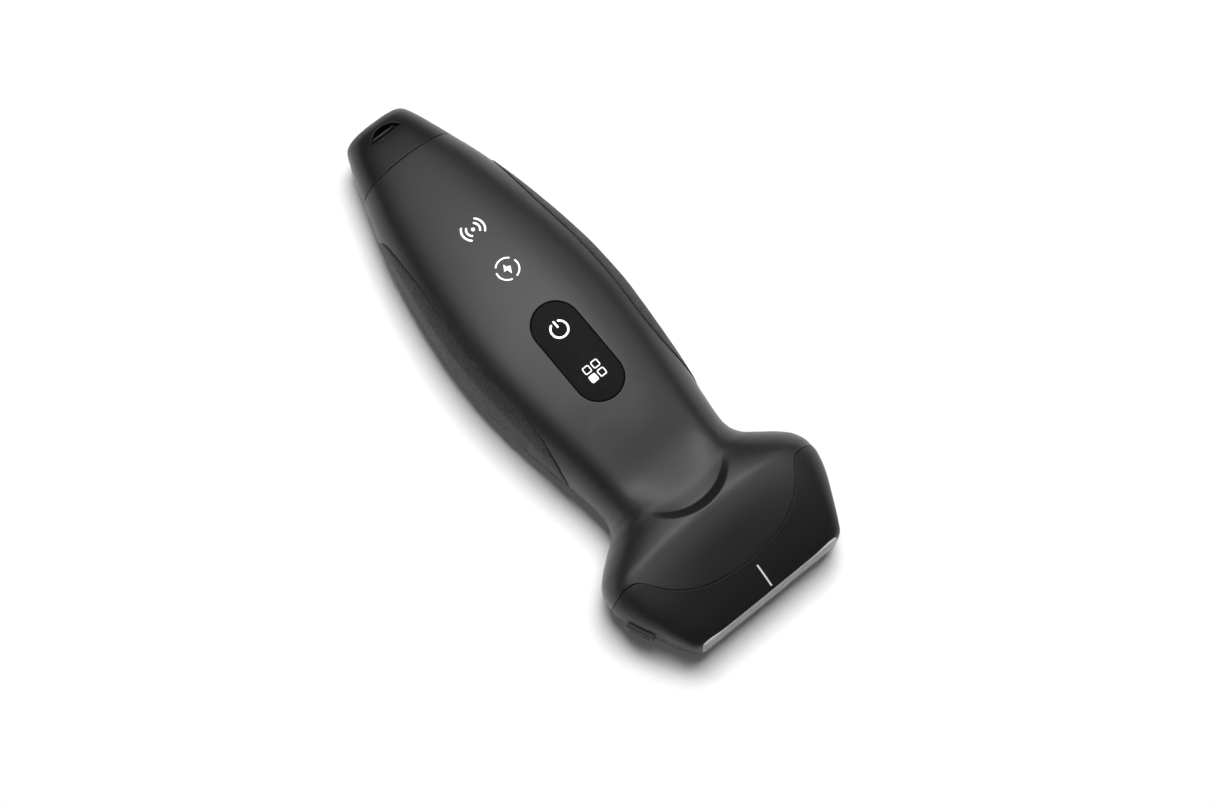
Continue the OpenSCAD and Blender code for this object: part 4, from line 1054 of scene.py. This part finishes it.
def blob(outline, centre=None):
    o = np.asarray(outline, float)
    c = o.mean(0) if centre is None else np.asarray(centre, float)
    rows = [c + (o - c) * s for s in (1.0, 0.66, 0.33)]
    n = len(o)
    verts = np.concatenate(rows + [c[None]])
    faces = []
    for r in range(2):
        for i in range(n):
            j = (i + 1) % n
            faces.append((r * n + i, r * n + j, (r + 1) * n + j, (r + 1) * n + i))
    for i in range(n):
        faces.append((2 * n + i, 2 * n + (i + 1) % n, 3 * n))
    return verts, fix(verts, faces)


def arc(cx, cy, r, a0, a1, n=40):
    a = np.radians(np.linspace(a0, a1, n))
    return np.column_stack([cx + r * np.cos(a), cy + r * np.sin(a)])


def rounded(cx, cy, w, r, n=6):
    out = []
    for qx, qy, a0 in ((1, 1, 0), (-1, 1, 90), (-1, -1, 180), (1, -1, 270)):
        for k in range(n):
            a = math.radians(a0 + 90 * k / (n - 1))
            out.append((cx + qx * (w / 2 - r) + r * math.cos(a), cy + qy * (w / 2 - r) + r * math.sin(a)))
    return np.array(out)


def skin_up(x, y):
    return skin_z(x, y) + PRINT_LIFT


def pad_up(x, y):
    return pad_z(x, y, PRINT_LIFT)


signal = [blob(circle(SIGNAL_X, 0, 0.5, 32))]
for r in (1.76, 3.02):
    for mid in (90, 270):
        signal.append(stroke(arc(SIGNAL_X, 0, r, mid - 45, mid + 45), 0.53))
print_piece("signal_icon", LIGHT, "housing", signal, skin_up)

charge = [stroke(arc(CHARGE_X, 0, 2.96, a + 16, a + 104), 0.42) for a in (0, 120, 240)]
# Outline of the bolt in the ring
bolt = np.array([(-1.4979, -0.1087), (-0.4104, 0.1629), (-0.5113, 0.4927), (-0.1371, 1.1009),
                 (1.6352, 0.0953), (0.2422, -0.2477), (0.1276, -1.1426)])
charge.append(blob(bolt + (CHARGE_X, 0)))
print_piece("charge_icon", LIGHT, "housing", charge, skin_up)

power = [stroke(arc(POWER_X - 0.25, 0, 2.2, -180 + 30, 180 - 30, 60), 0.56),
         stroke(np.column_stack([np.linspace(-2.55, -0.95, 8) + POWER_X, np.zeros(8)]), 0.56)]
print_piece("power_icon", LIGHT, "power_key", power, pad_up)

mx = MODE_X - 0.25
squares = []
for qx, qy in ((1, 1), (-1, 1), (-1, -1)):
    squares.append(stroke(rounded(mx + qx * 1.3, qy * 1.3, 1.75, 0.35), 0.3, closed=True))
squares.append(blob(rounded(mx + 1.3, -1.3, 2.05, 0.45)))
print_piece("mode_icon", LIGHT, "mode_key", squares, pad_up)
dots = [blob(circle(mx + 4.4 * math.cos(a), 4.4 * math.sin(a), 0.33, 24))
        for a in np.radians(np.arange(0, 360, 45))]
print_piece("mode_dots", DOT, "mode_key", dots, pad_up)

# The centre mark is drawn in the white print that carries the painted glow
mark_line = np.column_stack([np.linspace(72.15, 77.85, 30), np.full(30, 0.9)])
mark = [stroke(mark_line, 0.46, caps=False)]
print_piece("centre_mark", GLOWING_MARK, "housing", mark, skin_up)

# CAD nodes that stay as they are: base colour, roughness, metal share and grain of each kind
INSIDE = {
    "light_guide": ((0.75, 0.77, 0.8), 0.3, 0.0, ("fine", 1500, 0.000004)),
    "switch_metal": ((0.6, 0.6, 0.6), 0.35, 1.0, ("fine", 2600, 0.000006)),
    "led_resin": ((0.8, 0.75, 0.5), 0.3, 0.0, ("fine", 1500, 0.000004)),
    "circuit_board": ((0.02, 0.13, 0.06), 0.45, 0.0, ("leather", 420, 0.00002)),
    "chip_resin": ((0.02, 0.02, 0.022), 0.55, 0.0, ("fine", 4000, 0.000012)),
    "frame_metal": ((0.62, 0.63, 0.65), 0.38, 1.0, ("fine", 1800, 0.00001)),
    "battery_foil": ((0.45, 0.47, 0.52), 0.4, 0.7, ("leather", 260, 0.00003)),
    "foam_pad": ((0.05, 0.05, 0.055), 0.9, 0.0, ("leather", 1400, 0.00012)),
    "coil_copper": ((0.72, 0.32, 0.16), 0.3, 1.0, ("fine", 2200, 0.00001)),
    "ferrite": ((0.06, 0.06, 0.065), 0.6, 0.0, ("leather", 900, 0.00002)),
    "flex_film": ((0.5, 0.22, 0.04), 0.35, 0.0, ("fine", 1600, 0.000005)),
    "backing_resin": ((0.07, 0.07, 0.075), 0.7, 0.0, ("fine", 2400, 0.00002)),
    "piezo_ceramic": ((0.55, 0.48, 0.3), 0.6, 0.0, ("fine", 3200, 0.00001)),
    "matching_resin": ((0.12, 0.2, 0.13), 0.5, 0.0, ("fine", 2400, 0.00001)),
    "seal_rubber": ((0.01, 0.01, 0.01), 0.6, 0.0, ("fine", 2500, 0.00002)),
    "screw_steel": ((0.42, 0.42, 0.43), 0.32, 1.0, ("fine", 2600, 0.00001)),
}
inside = {}
for kind, (base, rough, metal, grain) in INSIDE.items():
    inside[kind] = material(kind, base, rough, metal=metal, grain=grain, tone=0.06, rough_tone=0.05)
slots = {s["node"]: s["material_slot"] for s in frame["record"]["subparts"]}
for node_name, obj in frame["nodes"].items():
    obj.data.materials.clear()
    obj.data.materials.append(inside.get(slots.get(node_name), DARK))

# Floor, light and camera
FLOOR_HALF, FLOOR_GLOW = 3, 0.06
CAMERA_AZIMUTH, CAMERA_HEIGHT, CAMERA_AWAY = math.radians(50.68), math.radians(73.92), 0.65
floor_mesh = bpy.data.meshes.new("floor")
corners = [(x * FLOOR_HALF, y * FLOOR_HALF, 0) for x, y in ((-1, -1), (1, -1), (1, 1), (-1, 1))]
floor_mesh.from_pydata(corners, [], [(0, 1, 2, 3)])
floor = bpy.data.objects.new("floor", floor_mesh)
bpy.context.scene.collection.objects.link(floor)
fm = bpy.data.materials.new("floor_white")
fm.use_nodes = True
nt = fm.node_tree
fb = nt.nodes["Principled BSDF"]
fb.inputs["Base Color"].default_value = (0.9, 0.9, 0.9, 1)
fb.inputs["Roughness"].default_value = 1.0
fb.inputs["Specular IOR Level"].default_value = 0.0
path = nt.nodes.new("ShaderNodeLightPath")
seen = nt.nodes.new("ShaderNodeMath")
seen.operation = "MAXIMUM"
nt.links.new(path.outputs["Is Camera Ray"], seen.inputs[0])
also = nt.nodes.new("ShaderNodeMath")
also.operation = "MAXIMUM"
nt.links.new(path.outputs["Is Glossy Ray"], also.inputs[0])
nt.links.new(path.outputs["Is Transmission Ray"], also.inputs[1])
nt.links.new(also.outputs[0], seen.inputs[1])
glow = nt.nodes.new("ShaderNodeEmission")
glow.inputs["Color"].default_value = (1, 1, 1, 1)
lift = nt.nodes.new("ShaderNodeMath")
lift.operation = "MULTIPLY"
lift.inputs[1].default_value = FLOOR_GLOW
nt.links.new(seen.outputs[0], lift.inputs[0])
nt.links.new(lift.outputs[0], glow.inputs["Strength"])
both = nt.nodes.new("ShaderNodeAddShader")
nt.links.new(fb.outputs[0], both.inputs[0])
nt.links.new(glow.outputs[0], both.inputs[1])
nt.links.new(both.outputs[0], nt.nodes["Material Output"].inputs["Surface"])
floor_mesh.materials.append(fm)

az, el = CAMERA_AZIMUTH, CAMERA_HEIGHT
back = Vector((math.sin(az) * math.cos(el), -math.cos(az) * math.cos(el), math.sin(el)))
right = Vector((math.cos(az), math.sin(az), 0))
upward = back.cross(right)
target = Vector((0.01591, -0.00011, 0.010))


def soft_box(name, position, size, watts):
    """A level panel that shines straight down."""
    lamp = bpy.data.lights.new(name, "AREA")
    lamp.shape = "RECTANGLE"
    lamp.size, lamp.size_y = size
    lamp.energy = watts
    obj = bpy.data.objects.new(name, lamp)
    obj.location = position
    bpy.context.scene.collection.objects.link(obj)
    return obj


# The panels show only as reflections: a bright strip a little towards the tail, a weak wide one
# round it and a middling one beside it. The last lamp lights the floor and throws the shadow.
for name, position, size, watts in (("strip", (-0.435, -0.4, 1.5), (0.48, 3.05), 19.0),
                                    ("fill", (-0.3, 0.6, 1.5), (2.4, 5.4), 49.0),
                                    ("side", (-0.6, 1.69, 1.5), (1.2, 1.12), 5.0)):
    soft_box(name, position, size, watts).visible_diffuse = False
soft_box("top", (-0.5, 0.6, 2.0), (1.2, 1.2), 62.0).visible_glossy = False

world = bpy.data.worlds.new("studio")
bpy.context.scene.world = world
world.use_nodes = True
world.node_tree.nodes["Background"].inputs["Color"].default_value = (1, 1, 1, 1)
world.node_tree.nodes["Background"].inputs["Strength"].default_value = 0.03

camera = bpy.data.cameras.new("camera")
camera.lens = 77.1
camera.sensor_width = 36
camera.clip_start = 0.01
view = bpy.data.objects.new("camera", camera)
bpy.context.scene.collection.objects.link(view)
view.matrix_world = Matrix((
    (right.x, upward.x, back.x, 0), (right.y, upward.y, back.y, 0), (right.z, upward.z, back.z, 0),
    (0, 0, 0, 1)))
view.matrix_world = Matrix.Translation(target + back * CAMERA_AWAY) @ view.matrix_world
bpy.context.scene.camera = view
bpy.context.scene.view_settings.view_transform = "Standard"
